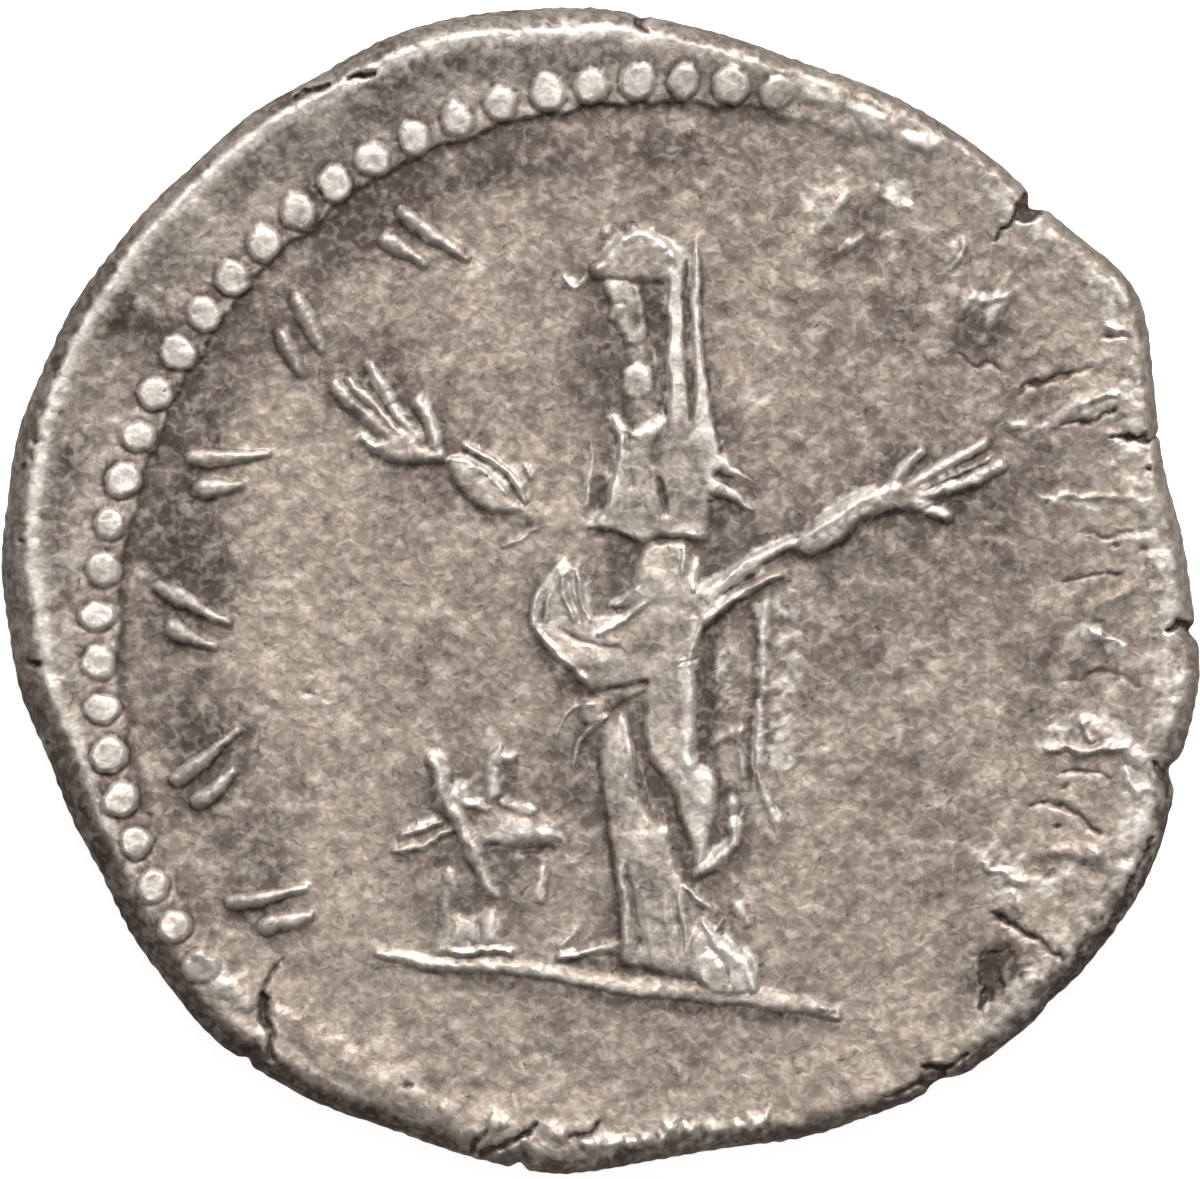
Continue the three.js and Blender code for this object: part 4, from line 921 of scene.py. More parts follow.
def bead_tree(material):
    """Ring of oval beads of slightly different sizes, set round a circle."""
    sizes = ("Ring Radius", "Bead Length", "Bead Width", "Height", "Spread", "Phase")
    tree = punch_tree("Bead ring", ("Count", "Seed"), sizes)
    add, maths, vector = (partial(kind, tree) for kind in (node, maths_node, vector_node))
    given = add("NodeGroupInput").outputs
    circle = add("GeometryNodeMeshCircle", fill_type="NONE", Vertices=given["Count"],
                 Radius=given["Ring Radius"])
    turned = add("GeometryNodeTransform", Geometry=circle, Rotation=vector(Z=given["Phase"]))

    bead = add("GeometryNodeMeshUVSphere", Segments=20, Rings=12, Radius=1.0)
    size = vector(X=given["Bead Length"], Y=given["Bead Width"], Z=given["Height"])
    shaped = add("GeometryNodeTransform", Geometry=bead, Scale=size)
    place = add("GeometryNodeInputPosition")
    outward = add("FunctionNodeAlignRotationToVector", axis="X", Vector=place)
    least = maths("SUBTRACT", 1.0, given["Spread"])
    most = maths("ADD", 1.0, given["Spread"])
    vary = add("FunctionNodeRandomValue", data_type="FLOAT_VECTOR", Min=vector(X=least, Y=least, Z=least),
               Max=vector(X=most, Y=most, Z=most), Seed=given["Seed"])
    beads = add("GeometryNodeInstanceOnPoints", Points=turned, Instance=shaped, Rotation=outward,
                Scale=vary)
    return finish_tree(tree, beads, material)


def stroke_tree(material):
    """Row of slanted wedges, in pairs of a long and a short one along an arc."""
    sizes = ("Row Radius", "First Angle", "Sweep", "Long", "Short", "Gap", "Width", "Height", "Slant")
    tree = punch_tree("Stroke row", ("Count",), sizes)
    add, maths, vector = (partial(kind, tree) for kind in (node, maths_node, vector_node))
    given = add("NodeGroupInput").outputs
    arc = add("GeometryNodeCurveArc", Resolution=given["Count"], Radius=given["Row Radius"],
              Start_Angle=given["First Angle"], Sweep_Angle=given["Sweep"])
    points = add("GeometryNodeCurveToPoints", mode="EVALUATED", Curve=arc)
    place = add("GeometryNodeInputPosition")
    outward = add("FunctionNodeAlignRotationToVector", axis="X", Vector=place)
    odd = maths("MODULO", add("GeometryNodeInputIndex").outputs["Index"], 2.0)
    side = maths("SUBTRACT", maths("MULTIPLY", odd, 2.0), 1.0)
    lean = vector(Z=maths("MULTIPLY", side, given["Slant"]))

    # A wedge is wide and rounded at its outer end and thins out inwards.
    inner_width, rounding, sharpness = 0.35, 0.6, 8.0
    share = add("GeometryNodeSplineParameter").outputs["Factor"]
    taper = maths("ADD", maths("MULTIPLY", share, 1.0 - inner_width), inner_width)
    rounded = maths("MULTIPLY", maths("POWER", share, sharpness), rounding)
    flare = maths("MULTIPLY", taper, maths("SUBTRACT", 1.0, rounded))
    half_width = maths("MULTIPLY", given["Width"], 0.5)
    ring = add("GeometryNodeCurvePrimitiveCircle", mode="RADIUS", Resolution=12, Radius=half_width)
    flat = vector(X=1.0, Y=1.0, Z=maths("DIVIDE", given["Height"], half_width))

    rows = add("GeometryNodeJoinGeometry")
    for length_name, offset in (("Long", -0.5), ("Short", 0.5)):
        inner, outer = (vector(X=maths("MULTIPLY", given[length_name], end)) for end in (-0.5, 0.5))
        stem = add("GeometryNodeCurvePrimitiveLine", mode="POINTS", Start=inner, End=outer)
        fine = add("GeometryNodeResampleCurve", Curve=stem, Count=13)
        skin = add("GeometryNodeCurveToMesh", Curve=fine, Profile_Curve=ring, Scale=flare, Fill_Caps=True)
        stroke = add("GeometryNodeTransform", Geometry=skin, Scale=flat)
        on_arc = add("GeometryNodeInstanceOnPoints", Points=points, Instance=stroke, Rotation=outward)
        aside = vector(Y=maths("MULTIPLY", given["Gap"], offset))
        shifted = add("GeometryNodeTranslateInstances", Instances=on_arc, Translation=aside)
        slanted = add("GeometryNodeRotateInstances", Instances=shifted, Rotation=lean)
        tree.links.new(slanted.outputs["Instances"], rows.inputs["Geometry"])
    return finish_tree(tree, rows, material)


def evaluated_mesh(carrier):
    """Plain mesh that an object's modifiers make, once the object itself is gone."""
    bpy.context.view_layer.update()
    shown = carrier.evaluated_get(bpy.context.evaluated_depsgraph_get())
    mesh = bpy.data.meshes.new_from_object(shown)
    bpy.data.objects.remove(carrier)
    return mesh


def grown(tree, values):
    """Plain mesh that a node tree makes with the given inputs."""
    carrier = bpy.data.objects.new(tree.name, bpy.data.meshes.new(tree.name))
    bpy.context.scene.collection.objects.link(carrier)
    modifier = carrier.modifiers.new("Punches", "NODES")
    modifier.node_group = tree
    for item in tree.interface.items_tree:
        if item.in_out == "INPUT":
            modifier[item.identifier] = values[item.name]
    return evaluated_mesh(carrier)


def punched(die, mesh, radii):
    """Heights of a mesh of punches over the ring of the die between two radii."""
    tree = BVHTree.FromPolygons([v.co for v in mesh.vertices], [p.vertices for p in mesh.polygons])
    radius = np.hypot(die.x, die.y)
    inner, outer = radii
    rows, columns = np.nonzero((radius > inner) & (radius < outer))
    down = Vector((0.0, 0.0, -1.0))
    shape = np.zeros_like(die.rise)
    for row, column in zip(rows, columns):
        above = Vector((die.x[row, column] * MM, die.y[row, column] * MM, RAY_HEIGHT))
        hit = tree.ray_cast(above, down)[0]
        if hit:
            shape[row, column] = hit.z / MM
    return shape


class Outline:
    """Worn outline of the flan and the band that slopes down to it, at angles in degrees."""

    SAMPLES = 7201
    WORN_BACK = 0.015

    def __init__(self):
        radius = bpy.context.scene.denarius_flan.radius / MM
        self.turn = np.linspace(0, 360, self.SAMPLES)
        self.reach = radius + swells(OUTLINE_SWELLS, self.turn) - self.WORN_BACK
        nicks = wave_noise(3, self.turn, 40, 60, 300)
        ripples = wave_noise(4, self.turn, 16, 9, 30)
        self.reach += 0.005 * nicks + 0.012 * ripples
        for at, depth, half_width in EDGE_SPLITS:
            off = np.radians((self.turn - at + 180) % 360 - 180) * radius
            self.reach -= depth * bell(off, 0, half_width)
        uneven = wave_noise(8, self.turn, 20, 8, 40)
        self.slope = BAND_WIDTH + swells(BAND_SWELLS, self.turn) + 0.015 * uneven

    def radius(self, angle):
        """Distance of the outline from the middle."""
        return np.interp(angle % 360, self.turn, self.reach)

    def band(self, angle):
        """Width of the band from the reverse rim's crest to the outline."""
        return np.interp(angle % 360, self.turn, self.slope)


def cracks(flan):
    """Cracks, laps, pits and scratches of the striking and of wear, as depths."""
    lines = (
        ([(0.61, 8.92), (0.54, 9.02), (0.67, 9.11), (0.88, 9.16)], (0.1, 0.16, 0.14, 0.04), 0.2),
        ([(0.64, 8.89), (0.74, 8.82)], (0.12, 0.05), 0.14),
        ([(-4.83, 7.9), (-4.61, 8.02), (-4.35, 8.07)], (0.06, 0.14, 0.05), 0.2),
        ([(-4.06, 8.12), (-3.87, 8.2), (-3.63, 8.23)], (0.04, 0.13, 0.08), 0.2),
        ([(7.04, 6.26), (6.88, 6.1), (6.75, 5.98), (6.53, 5.85), (6.21, 5.62)],
         (0.22, 0.24, 0.2, 0.08, 0.03), 0.2),
        ([(8.18, 2.41), (8.35, 2.46), (8.54, 2.44), (8.85, 2.42)], (0.03, 0.08, 0.08, 0.09), 0.15),
        ([(9.06, -0.62), (9.25, -0.55), (9.5, -0.65)], (0.08, 0.18, 0.24), 0.16),
        ([(8.9, -2.76), (9.02, -2.98), (9.09, -3.29)], (0.1, 0.2, 0.1), 0.16),
        ([(6.27, -5.22), (6.53, -5.3), (6.78, -5.46), (7.04, -5.67), (7.33, -5.83)],
         (0.03, 0.09, 0.12, 0.1, 0.05), 0.15),
        ([(6.18, -6.41), (6.13, -6.57), (6.1, -6.76)], (0.2, 0.14, 0.06), 0.1),
        ([(5.15, -7.59), (5.44, -7.62), (5.79, -7.4)], (0.08, 0.16, 0.1), 0.12),
        ([(5.44, -7.62), (5.47, -7.88)], (0.12, 0.1), 0.14),
        ([(4.48, -8.1), (4.88, -8.01), (5.36, -7.88)], (0.08, 0.16, 0.12), 0.1),
        ([(8.8, -3.94), (8.48, -4.62), (8.16, -5.29), (7.84, -5.9)], (0.1, 0.16, 0.18, 0.2), 0.14),
        ([(-5.41, -6.38), (-5.34, -6.63), (-5.25, -7.05), (-5.2, -7.5)], (0.06, 0.2, 0.14, 0.1), 0.2),
        ([(-5.09, -5.93), (-5.28, -6.18), (-5.41, -6.41)], (0.04, 0.07, 0.08), 0.07),
        ([(-1.82, -8.62), (-1.95, -8.81), (-2.08, -8.97)], (0.05, 0.12, 0.1), 0.16),
        ([(-1.06, -8.58), (-1.28, -8.78), (-1.6, -8.92), (-1.92, -9)], (0.05, 0.13, 0.14, 0.1), 0.18),
        ([(-0.03, -8.46), (-0.19, -8.62), (-0.45, -8.74)], (0.04, 0.08, 0.14), 0.12),
        ([(5.44, 0.15), (5.46, -0.46), (5.47, -1.06)], (0.03, 0.035, 0.03), 0.025),
        ([(-9.06, -1.19), (-8.93, -1.16)], (0.2, 0.08), 0.12),
        ([(5.63, 3.74), (5.98, 3.58), (6.24, 3.64), (6.4, 3.42)], (0.03, 0.06, 0.06, 0.04), 0.05),
        ([(6.62, 3.16), (7.12, 3.37), (7.84, 3.5)], (0.05, 0.14, 0.05), 0.07),
        ([(7.39, 2.62), (7.84, 2.71), (8.19, 2.89)], (0.04, 0.11, 0.05), 0.06),
        ([(8.06, 4.1), (8.45, 4.07)], 0.08, 0.06),
        ([(7.78, 0.94), (8.51, 0.92)], (0.06, 0.12), 0.04),
        ([(7.39, 0.14), (7.84, 0.2), (8.38, 0.26)], (0.03, 0.06, 0.04), 0.06),
        ([(7.33, -1.45), (7.97, -1.34), (8.58, -1.54)], (0.05, 0.12, 0.06), 0.04),
        ([(7.36, -2.92), (7.65, -2.81), (8.1, -3.08)], (0.04, 0.08, 0.05), 0.06),
        ([(6.85, -3.4), (7.46, -3.46), (8.06, -3.91)], (0.05, 0.14, 0.08), 0.06),
        ([(2.88, -6.76), (2.94, -6.92)], 0.05, 0.04),
    )
    flan.ridges(lines)
    pits = (((-4.62, -1.66), 0.045, 0.045, 0.05), ((-2.78, -1.19), 0.06, 0.04, 0.03),
            ((-9.01, 2.39), 0.07, 0.05, 0.08), ((-8.7, 3.61), 0.1, 0.13, 0.1),
            ((-9.25, 1.98), 0.06, 0.08, 0.08), ((-9.34, 0.79), 0.05, 0.08, 0.08),
            ((-8.83, -2.49), 0.06, 0.05, 0.08), ((-7.9, -4.63), 0.06, 0.05, 0.08),
            ((-3.07, -7.9), 0.09, 0.08, 0.1), ((8.77, 1.98), 0.07, 0.06, 0.08),
            ((7.94, -0.52), 0.07, 0.06, 0.06), ((8.19, 0.78), 0.08, 0.05, 0.05),
            ((7.47, -3.16), 0.06, 0.06, 0.06), ((7.31, -3.82), 0.06, 0.06, 0.06),
            ((8.64, 0.71), 0.05, 0.07, 0.05), ((4.29, -3.98), 0.04, 0.07, 0.04))
    for spot, wide, tall, depth in pits:
        flan.mound(spot, (wide, tall), depth)
    flan.body([(6.53, 5.88), (6.72, 6.17), (6.94, 6.33), (7.1, 6.14), (6.85, 5.88)], 0.3, 0.12)
    flan.body([(5.98, -5.96), (6.11, -5.77), (6.4, -5.8), (6.59, -5.67), (6.62, -5.9), (6.5, -6.09),
               (6.53, -6.31), (6.34, -6.41), (6.27, -6.63), (6.11, -6.7), (6.14, -6.44), (5.98, -6.31)],
              0.1, 0.14)
    return flan.rise


def traces(flan):
    """Worn raised traces in the right field and bright lumps along the lower rim."""
    lines = (
        ([(6.53, 2.65), (7.04, 2.65), (7.52, 2.87), (8.19, 3.13)], (0.1, 0.2, 0.24, 0.14), 0.045),
        ([(6.93, 3.72), (7.23, 4.14)], 0.12, 0.04),
        ([(8.06, 4.28), (8.48, 4.2)], 0.16, 0.05),
        ([(7.07, 1.43), (7.39, 1.48), (7.78, 1.38), (8.19, 1.38), (8.54, 1.5)],
         (0.1, 0.12, 0.1, 0.1, 0.12), 0.045),
        ([(7.73, -0.55), (8, -0.74), (8.38, -0.98)], (0.08, 0.12, 0.1), 0.045),
        ([(7.23, -2.57), (7.68, -2.54), (8.29, -2.54)], (0.1, 0.16, 0.14), 0.06),
        ([(7.74, -2.15), (7.9, -2.38)], 0.14, 0.05),
        ([(8.32, -2.89), (8.64, -3.21)], (0.2, 0.24), 0.045),
        ([(6.16, -4.36), (6.34, -4.46), (6.46, -4.58)], 0.16, 0.06),
        ([(6.59, -4.81), (6.75, -5.06)], 0.12, 0.05),
        ([(3.49, -6.7), (3.78, -6.82)], 0.14, 0.06),
        ([(3.55, 6.04), (3.9, 6.3)], (0.2, 0.3), 0.04),
        ([(4.54, 6.39), (4.9, 6.14)], (0.3, 0.24), 0.04),
        ([(5.76, 5.56), (5.65, 5.18)], (0.16, 0.24), 0.05),
        ([(5.95, 4.6), (6.46, 4.63)], (0.24, 0.14), 0.05),
        ([(3.33, 7.93), (3.74, 7.8)], (0.26, 0.36), 0.05),
        ([(4.06, 7.59), (4.54, 7.34)], (0.3, 0.44), 0.05),
        ([(4.9, 7.24), (5.22, 7.05)], 0.36, 0.05),
        ([(-5.12, -6.73), (-4.61, -7.14), (-4, -7.53), (-3.2, -8.01), (-2.56, -8.34)],
         (0.34, 0.6, 0.7, 0.6, 0.34), 0.04),
        ([(-6.34, -5.8), (-5.98, -6.18), (-5.6, -6.54)], (0.24, 0.5, 0.3), 0.06),
    )
    flan.ridges(lines)
    lumps = ((-0.83, -8.6), (-0.64, -8.66), (-0.18, -8.81), (0.1, -8.82), (0.38, -8.82), (0.64, -8.79),
             (0.93, -8.78), (1.09, -8.62), (1.44, -8.63), (1.79, -8.63), (2.18, -8.58), (2.43, -8.55),
             (2.62, -8.47), (-1.6, -8.46))
    for i, spot in enumerate(lumps):
        radius = 0.15 + 0.05 * math.sin(3.1 * i)
        flan.mound(spot, (radius, radius), 0.07)
    return flan.rise


def stains_and_shade(flan):
    """Broad dark patches, from 0 to 1: toning stains on the field, and painted shade in the hollows beside
    the figure and round its legs.
    """
    patches = (
        ((-6.4, 3.51), 1.1, 1.8, -30, 0.5), ((-6.64, 0.47), 0.8, 1.7, 0, 0.55),
        ((-6.16, -2.41), 0.9, 1.6, 20, 0.45), ((-0.64, 6.87), 2.6, 0.7, 5, 0.38),
        ((1.92, 6.55), 1.8, 0.9, -10, 0.28), ((-3.84, 6.23), 1.5, 0.8, 40, 0.4),
        ((6.24, -5.93), 0.7, 0.7, 0, 0.5), ((0.83, 4.38), 0.3, 0.6, 0, 0.9),
        ((0.06, 3.51), 0.4, 0.7, 20, 0.35), ((1.76, -1.61), 0.16, 1.3, -4, 0.8),
        ((0.88, -3.02), 0.2, 0.4, 25, 0.6), ((-0.03, 1.43), 0.2, 0.3, 0, 0.6),
        ((0.19, 0.47), 0.36, 0.4, 0, 0.35), ((0.64, 3.03), 1.2, 2.6, 0, 0.2),
        ((7.04, 2.07), 1.2, 1.4, 0, 0.2), ((7.68, -1.13), 1.1, 1.4, 0, 0.25),
        ((4.48, 4.63), 1.8, 1.6, 0, 0.15), ((-1.92, -4.17), 1.4, 1.4, 0, 0.2),
        ((-2.72, -1.13), 0.9, 0.7, 0, 0.25), ((0, -7.69), 3.2, 0.6, 0, 0.12),
        ((-3.2, 3.51), 1.6, 1.2, 20, 0.2), ((-1.92, 1.11), 1.2, 0.6, 0, 0.2),
        ((-5.44, -4.97), 0.9, 0.8, 0, 0.3), ((-0.64, -2.89), 0.6, 1.6, 0, 0.15),
        ((-6.4, 0.12), 0.8, 0.5, 0, 0.4), ((-6.56, -2.28), 0.8, 0.5, 10, 0.4),
        ((-5.31, -4.04), 0.8, 0.6, 0, 0.35), ((-2.02, -2.02), 0.5, 0.4, 0, 0.35),
        ((4.26, 5.98), 0.4, 0.24, 0, 0.5), ((6.08, 4.02), 0.6, 0.35, 0, 0.35),
        ((3.92, 5.46), 1.8, 0.5, 0, 0.2), ((2.32, -3.37), 0.8, 2.0, 0, 0.2),
        ((-0.48, -3.37), 0.7, 1.8, 0, 0.15), ((4.8, 0.47), 3.4, 6.0, 0, 0.24),
        ((6.4, -6.17), 0.6, 0.5, 30, 0.4), ((-7.26, 4.34), 0.7, 0.5, -40, 0.55),
        ((-0.64, 3.83), 1.3, 2.2, 0, 0.16), ((6.18, -6.15), 0.3, 0.42, 0, 0.6),
        ((-4.32, 5.59), 1.2, 0.9, 40, 0.22), ((-6.72, 2.87), 0.6, 1.0, 0, 0.18),
        ((-6.56, 0.55), 0.9, 0.5, 0, 0.15), ((0.51, -3.53), 0.9, 2.2, 4, 0.16),
        ((-6.96, 0.71), 0.5, 0.5, 0, 0.35), ((-5.82, 0.31), 0.5, 0.4, 0, 0.3),
        ((-4.61, 5.94), 0.6, 0.5, 30, 0.3), ((-3.2, 6.74), 0.7, 0.35, 15, 0.3),
        ((-6.05, -3.98), 0.4, 0.5, 0, 0.25), ((-7.04, -1.77), 0.35, 0.6, 0, 0.25),
    )
    for spot, wide, tall, turn, depth in patches:
        flan.mound(spot, (wide, tall), depth, turn, "add")
    return blurred(flan.rise, 0.18)


# Finished height map of one face of the coin, with its toning, its painted shade and its wear.
Face = namedtuple("Face", "height toning wear")


def roughened(rise, seed, amount=1.0):
    """A relief with ragged borders and uneven tops, as corroded silver has."""

    def pushed(place, first_seed):
        fine, coarse = mottle(first_seed, 0.05), mottle(first_seed + 1, 0.16)
        return place + amount * (0.009 * fine + 0.016 * coarse)

    x, y = grid_places()
    uneven = 1 + 0.08 * amount * mottle(seed + 5, 0.3)
    return sampled(rise, pushed(x, seed), pushed(y, seed + 2)) * np.clip(uneven, 0.4, 1.6)


def weathered(rise, cuts, seed, patches):
    """Toning and wear of a relief: dark in its hollows and under the given patches, which on the reverse
    hold painted shade too, and bright on its worn tops.
    """
    height = rise - cuts
    near = blurred(height, 0.05) - height
    wide = blurred(height, 0.3) - height
    cloud = mottle(seed, 0.35)
    blots = mottle(seed + 1, 0.1)
    toning = 0.3 + 0.25 * eased(near, 0.005, 0.03) + 0.2 * eased(wide, 0.0, 0.05)
    toning = toning + patches * (1 + 0.15 * blots)
    toning = toning + 0.05 * cloud + 0.07 * blots + 0.8 * eased(cuts, 0.015, 0.1)
    wear = 0.24 * eased(-near, 0.001, 0.018) + 0.16 * eased(-wide, 0.0, 0.06)
    wear = wear + 0.18 * eased(height, 0.03, 0.08) - 0.06 * blots
    return toning, wear


def stroke_row(die, strokes, row, height, worn_to):
    """A row of strokes, from its first to its last angle, pressed into the die and worn down."""
    settings = bpy.context.scene.denarius_die
    first, last = row
    mesh = grown(strokes, {
        "Count": ROW_PAIRS,
        "Row Radius": settings.row_radius,
        "First Angle": math.radians(first),
        "Sweep": math.radians(last - first),
        "Long": settings.stroke_length,
        "Short": SHORT_SHARE * settings.stroke_length,
        "Gap": PAIR_GAP * MM,
        "Width": settings.stroke_width,
        "Height": height * MM,
        "Slant": math.radians(PAIR_SLANT),
    })
    return np.minimum(punched(die, mesh, ROW_RADII), worn_to)


def bead_ring(die, beads, phase, seed, worn_to):
    """The ring of beads, turned by a phase in degrees, pressed into the die and worn down."""
    settings = bpy.context.scene.denarius_die
    mesh = grown(beads, {
        "Count": settings.bead_count,
        "Ring Radius": settings.ring_radius,
        "Bead Length": BEAD_OVAL[0] * settings.bead_size,
        "Bead Width": BEAD_OVAL[1] * settings.bead_size,
        "Height": settings.bead_height,
        "Spread": BEAD_SPREAD,
        "Phase": math.radians(phase),
        "Seed": seed,
    })
    return np.minimum(punched(die, mesh, RING_RADII), worn_to)


def reverse_design(die, relief):
    """Figure, ground line and altar of the reverse, with ragged borders."""
    for form in (skirt, hanging_end, mantle, tunic, veil, head, left_arm, right_arm, ground_line):
        form(die)
    figure = roughened(die.rise * relief, 11)
    block = Relief(die.shift)
    altar(block)
    block = roughened(block.rise * relief, 15, 2.0)
    return np.where(block > 0, np.maximum(figure, block), figure + block)


def reverse_rows(die, strokes, radius, angle):
    """Bold strokes on the left, cut short beside the raised hand, and worn ones on the right."""
    bold = roughened(stroke_row(die, strokes, LEFT_ROW, 0.2, 0.15), 71)
    beside_hand = np.abs(angle - HAND_ANGLE) < HAND_HALF_ANGLE
    bold = bold * np.where(beside_hand, eased(radius, *HAND_RADII), 1)
    faint = roughened(blurred(stroke_row(die, strokes, RIGHT_ROW, 0.12, 0.06), 0.04), 81)
    faint = faint * np.clip(0.75 + 0.5 * mottle(82, 0.25), 0, 1.2)
    return np.maximum(bold, faint)


def flow_streaks(radius, angle):
    """Fine radial streaks that the metal left as it flowed outwards under the blow."""
    turns, span, stretch = 5.5, 17, 0.2
    around = np.radians(angle) * turns % span - span / 2
    streaks = sampled(mottle(21, 0.03), around, radius * stretch)
    flow = eased(radius, 6.5, 8.6) * (0.45 + swells(((0, 50, 0.35),), angle))
    return 0.008 * flow * streaks


def tone_design(die, rise, cuts, figure):
    """Toning, painted shade and wear of the reverse design: painted shadow beside, under and round its
    forms, and polish on their tops.
    """
    toning, wear = weathered(rise, cuts, 41, stains_and_shade(Relief()))
    # Painted shadow: the shadow marks darken the places beside, under and between the forms, and keep wear
    # and polish off them.
    shade = np.clip(blurred(shadow_marks(Relief(die.shift)), 0.015), 0, 1)
    polish = polish_marks(Relief(die.shift))
    polish = eased(polish + 0.22 * (polish > 0) * mottle(36, 0.04), 0.25, 0.55) * (1 - shade)
    toning += 0.42 * shade
    wear = wear * (1 - 0.7 * shade) + 0.8 * polish
    # Painted shade: a broad halo darkens the field round the figure and fades out at the figure's border.
    solid = (blurred(figure, 0.05) > 0.022).astype(float)
    toning += 0.28 * np.clip(blurred(solid, 0.45) * 1.6, 0, 1) * (1 - blurred(solid, 0.06))
    return toning, wear


def finish_rim(outline, die, patchy, toning, wear):
    """Adds the rim's toning, painted shade and wear to a face's, and gives the relief of its crumbled edge.

    The rim is polished along its crest on the left, dull outside it, crumbled bright on the right, and
    painted dark with shade on the walls round its lower side.
    """
    x, y = die.x + die.shift[0], die.y + die.shift[1]
    turn = np.degrees(np.arctan2(y, x)) % 360
    inset = outline.radius(turn) - np.hypot(x, y)
    band = outline.band(turn)
    speck = mottle(44, 0.035)

    polished = np.clip(swells(POLISHED_SWELLS, turn), 0, 1)
    crest = bell(inset - band, 0.02, 0.12)
    wear += 1.2 * eased(crest + 0.12 * speck, 0.3, 0.75) * polished
    toning += (0.1 + 1.7 * patchy) * polished * bell(inset - band, 0.45, 0.3)

    crumbled = eased(inset, 0.06, 0.16) * (1 - eased(inset, 0.35, 0.9))
    crumbled *= np.clip(swells(CRUMBLED_SWELLS, turn), 0, 1)
    wear += crumbled * (0.26 + 0.4 * speck + 0.2 * mottle(45, 0.09))

    outside = 1 - eased(inset, 0.75 * band, band)
    toning += 0.4 * outside * np.clip(swells(DULL_SWELLS, turn), 0, 1)
    # Painted shade: the walls round the lower side face away from the key lamp, and are darkened as if in
    # shadow.
    below = 1 - eased(inset + 0.05 * speck, 0.5 * band, 0.85 * band)
    toning += 0.7 * np.clip(swells(SHADED_WALL_SWELLS, turn), 0, 1) * below
    return 0.004 * crumbled * speck


def pressed(toning, knee=0.6, room=0.35):
    """Toning and painted shade, with their darkest levels pressed together above a knee."""
    return np.where(toning > knee, knee + room * np.tanh((toning - knee) / room), toning)


def strike_reverse(outline, beads, strokes):
    """Reverse: a veiled figure beside an altar, inside rows of strokes and a ring of beads."""
    settings = bpy.context.scene.denarius_die
    die = Relief((settings.shift[0] / MM, settings.shift[1] / MM))
    radius = np.hypot(die.x, die.y)
    angle = np.degrees(np.arctan2(die.y, die.x)) % 360
    figure = reverse_design(die, settings.figure_relief)
    rows = reverse_rows(die, strokes, radius, angle)
    figure = np.where(figure > 0, np.maximum(figure, rows), figure + rows)
    kept = eased(angle, *RING_FADES_IN) * (1 - eased(angle, *RING_FADES_OUT))
    ring = roughened(bead_ring(die, beads, RING_PHASE, 5, 0.12), 91) * kept

    # The beads stand on a low shelf that ends in a ragged step inside them.
    upper_left = np.clip(swells(SHELF_SWELLS, angle), 0, 1)
    edge = radius + 0.03 * mottle(22, 0.1)
    shelf = 0.08 * eased(edge, *SHELF_RADII) * upper_left
    moat = eased(blurred((ring > 0.01).astype(float), 0.05), 0.05, 0.4) * (ring < 0.01)
    rise = np.maximum(figure + shelf, ring + 0.5 * shelf) - 0.015 * moat
    rise = rise + roughened(blurred(traces(Relief()), 0.02), 24, 2.5)
    rise = blurred(rise + flow_streaks(radius, angle) * (ring < 0.02), 0.014)
    for seed, depth, reach in GRAIN:
        rise = rise + depth * mottle(seed, reach)
    ragged = np.clip(1 + 0.2 * mottle(35, 0.05), 0.4, 1.5)
    cuts = blurred(roughened(cracks(Relief()), 95, 2.0) * ragged, 0.01)

    # Painted shade darkens the line inside the shelf's step and the moat round the beads; a band of toning
    # lies inside the step, and wear brightens the beads' tops.
    toning, wear = tone_design(die, rise, cuts, figure)
    toning += upper_left * (0.6 * bell(edge, 8.57, 0.08) + 0.4 * moat)
    patchy = np.clip(0.2 + 0.12 * mottle(43, 0.3), 0, 1)
    toning += upper_left * patchy * bell(radius, 8.05, 0.4)
    wear += 0.6 * eased(ring, 0.04, 0.09) * upper_left
    rise = rise + finish_rim(outline, die, patchy, toning, wear)
    wear = wear * (1 - eased(cuts, 0.01, 0.06))
    return Face(rise - cuts, np.clip(pressed(toning), 0, 1), np.clip(wear, 0, 1))


def strike_obverse(beads, strokes):
    """Hidden obverse: a plain draped bust inside rows of strokes and a ring of beads."""
    die = Relief(OBVERSE_SHIFT)
    bust(die)
    rise = die.rise
    for row in OBVERSE_ROWS:
        rise = np.maximum(rise, stroke_row(die, strokes, row, 0.2, 0.15))
    rise = np.maximum(rise, bead_ring(die, beads, 0.0, 9, 0.1))
    rise = blurred(rise, 0.03) + 0.005 * mottle(51, 0.12) + 0.008 * mottle(52, 0.8)
    rise = np.minimum(rise, OBVERSE_DEPTH)
    toning, wear = weathered(rise, np.zeros_like(rise), 61, 0.15)
    return Face(rise, np.clip(toning, 0, 1), np.clip(wear, 0, 1))


def disc_grid(count):
    """A square grid mapped onto the unit disc, and the places of its border, anticlockwise."""
    side = np.linspace(-1, 1, count + 1)
    a, b = np.meshgrid(side, side)
    wide = np.abs(a) >= np.abs(b)
    radius = np.where(wide, a, b)
    safe = np.where(radius == 0, 1, radius)
    turn = np.where(wide, math.pi / 4 * b / safe, math.pi / 2 - math.pi / 4 * a / safe)
    index = np.arange((count + 1) ** 2).reshape(count + 1, count + 1)
    border = np.concatenate((index[0, :-1], index[:-1, -1], index[-1, :0:-1], index[:0:-1, 0]))
    corners = (index[:-1, :-1], index[:-1, 1:], index[1:, 1:], index[1:, :-1])
    quads = np.stack([c.ravel() for c in corners], 1)
    return (radius * np.cos(turn)).ravel(), (radius * np.sin(turn)).ravel(), border, quads


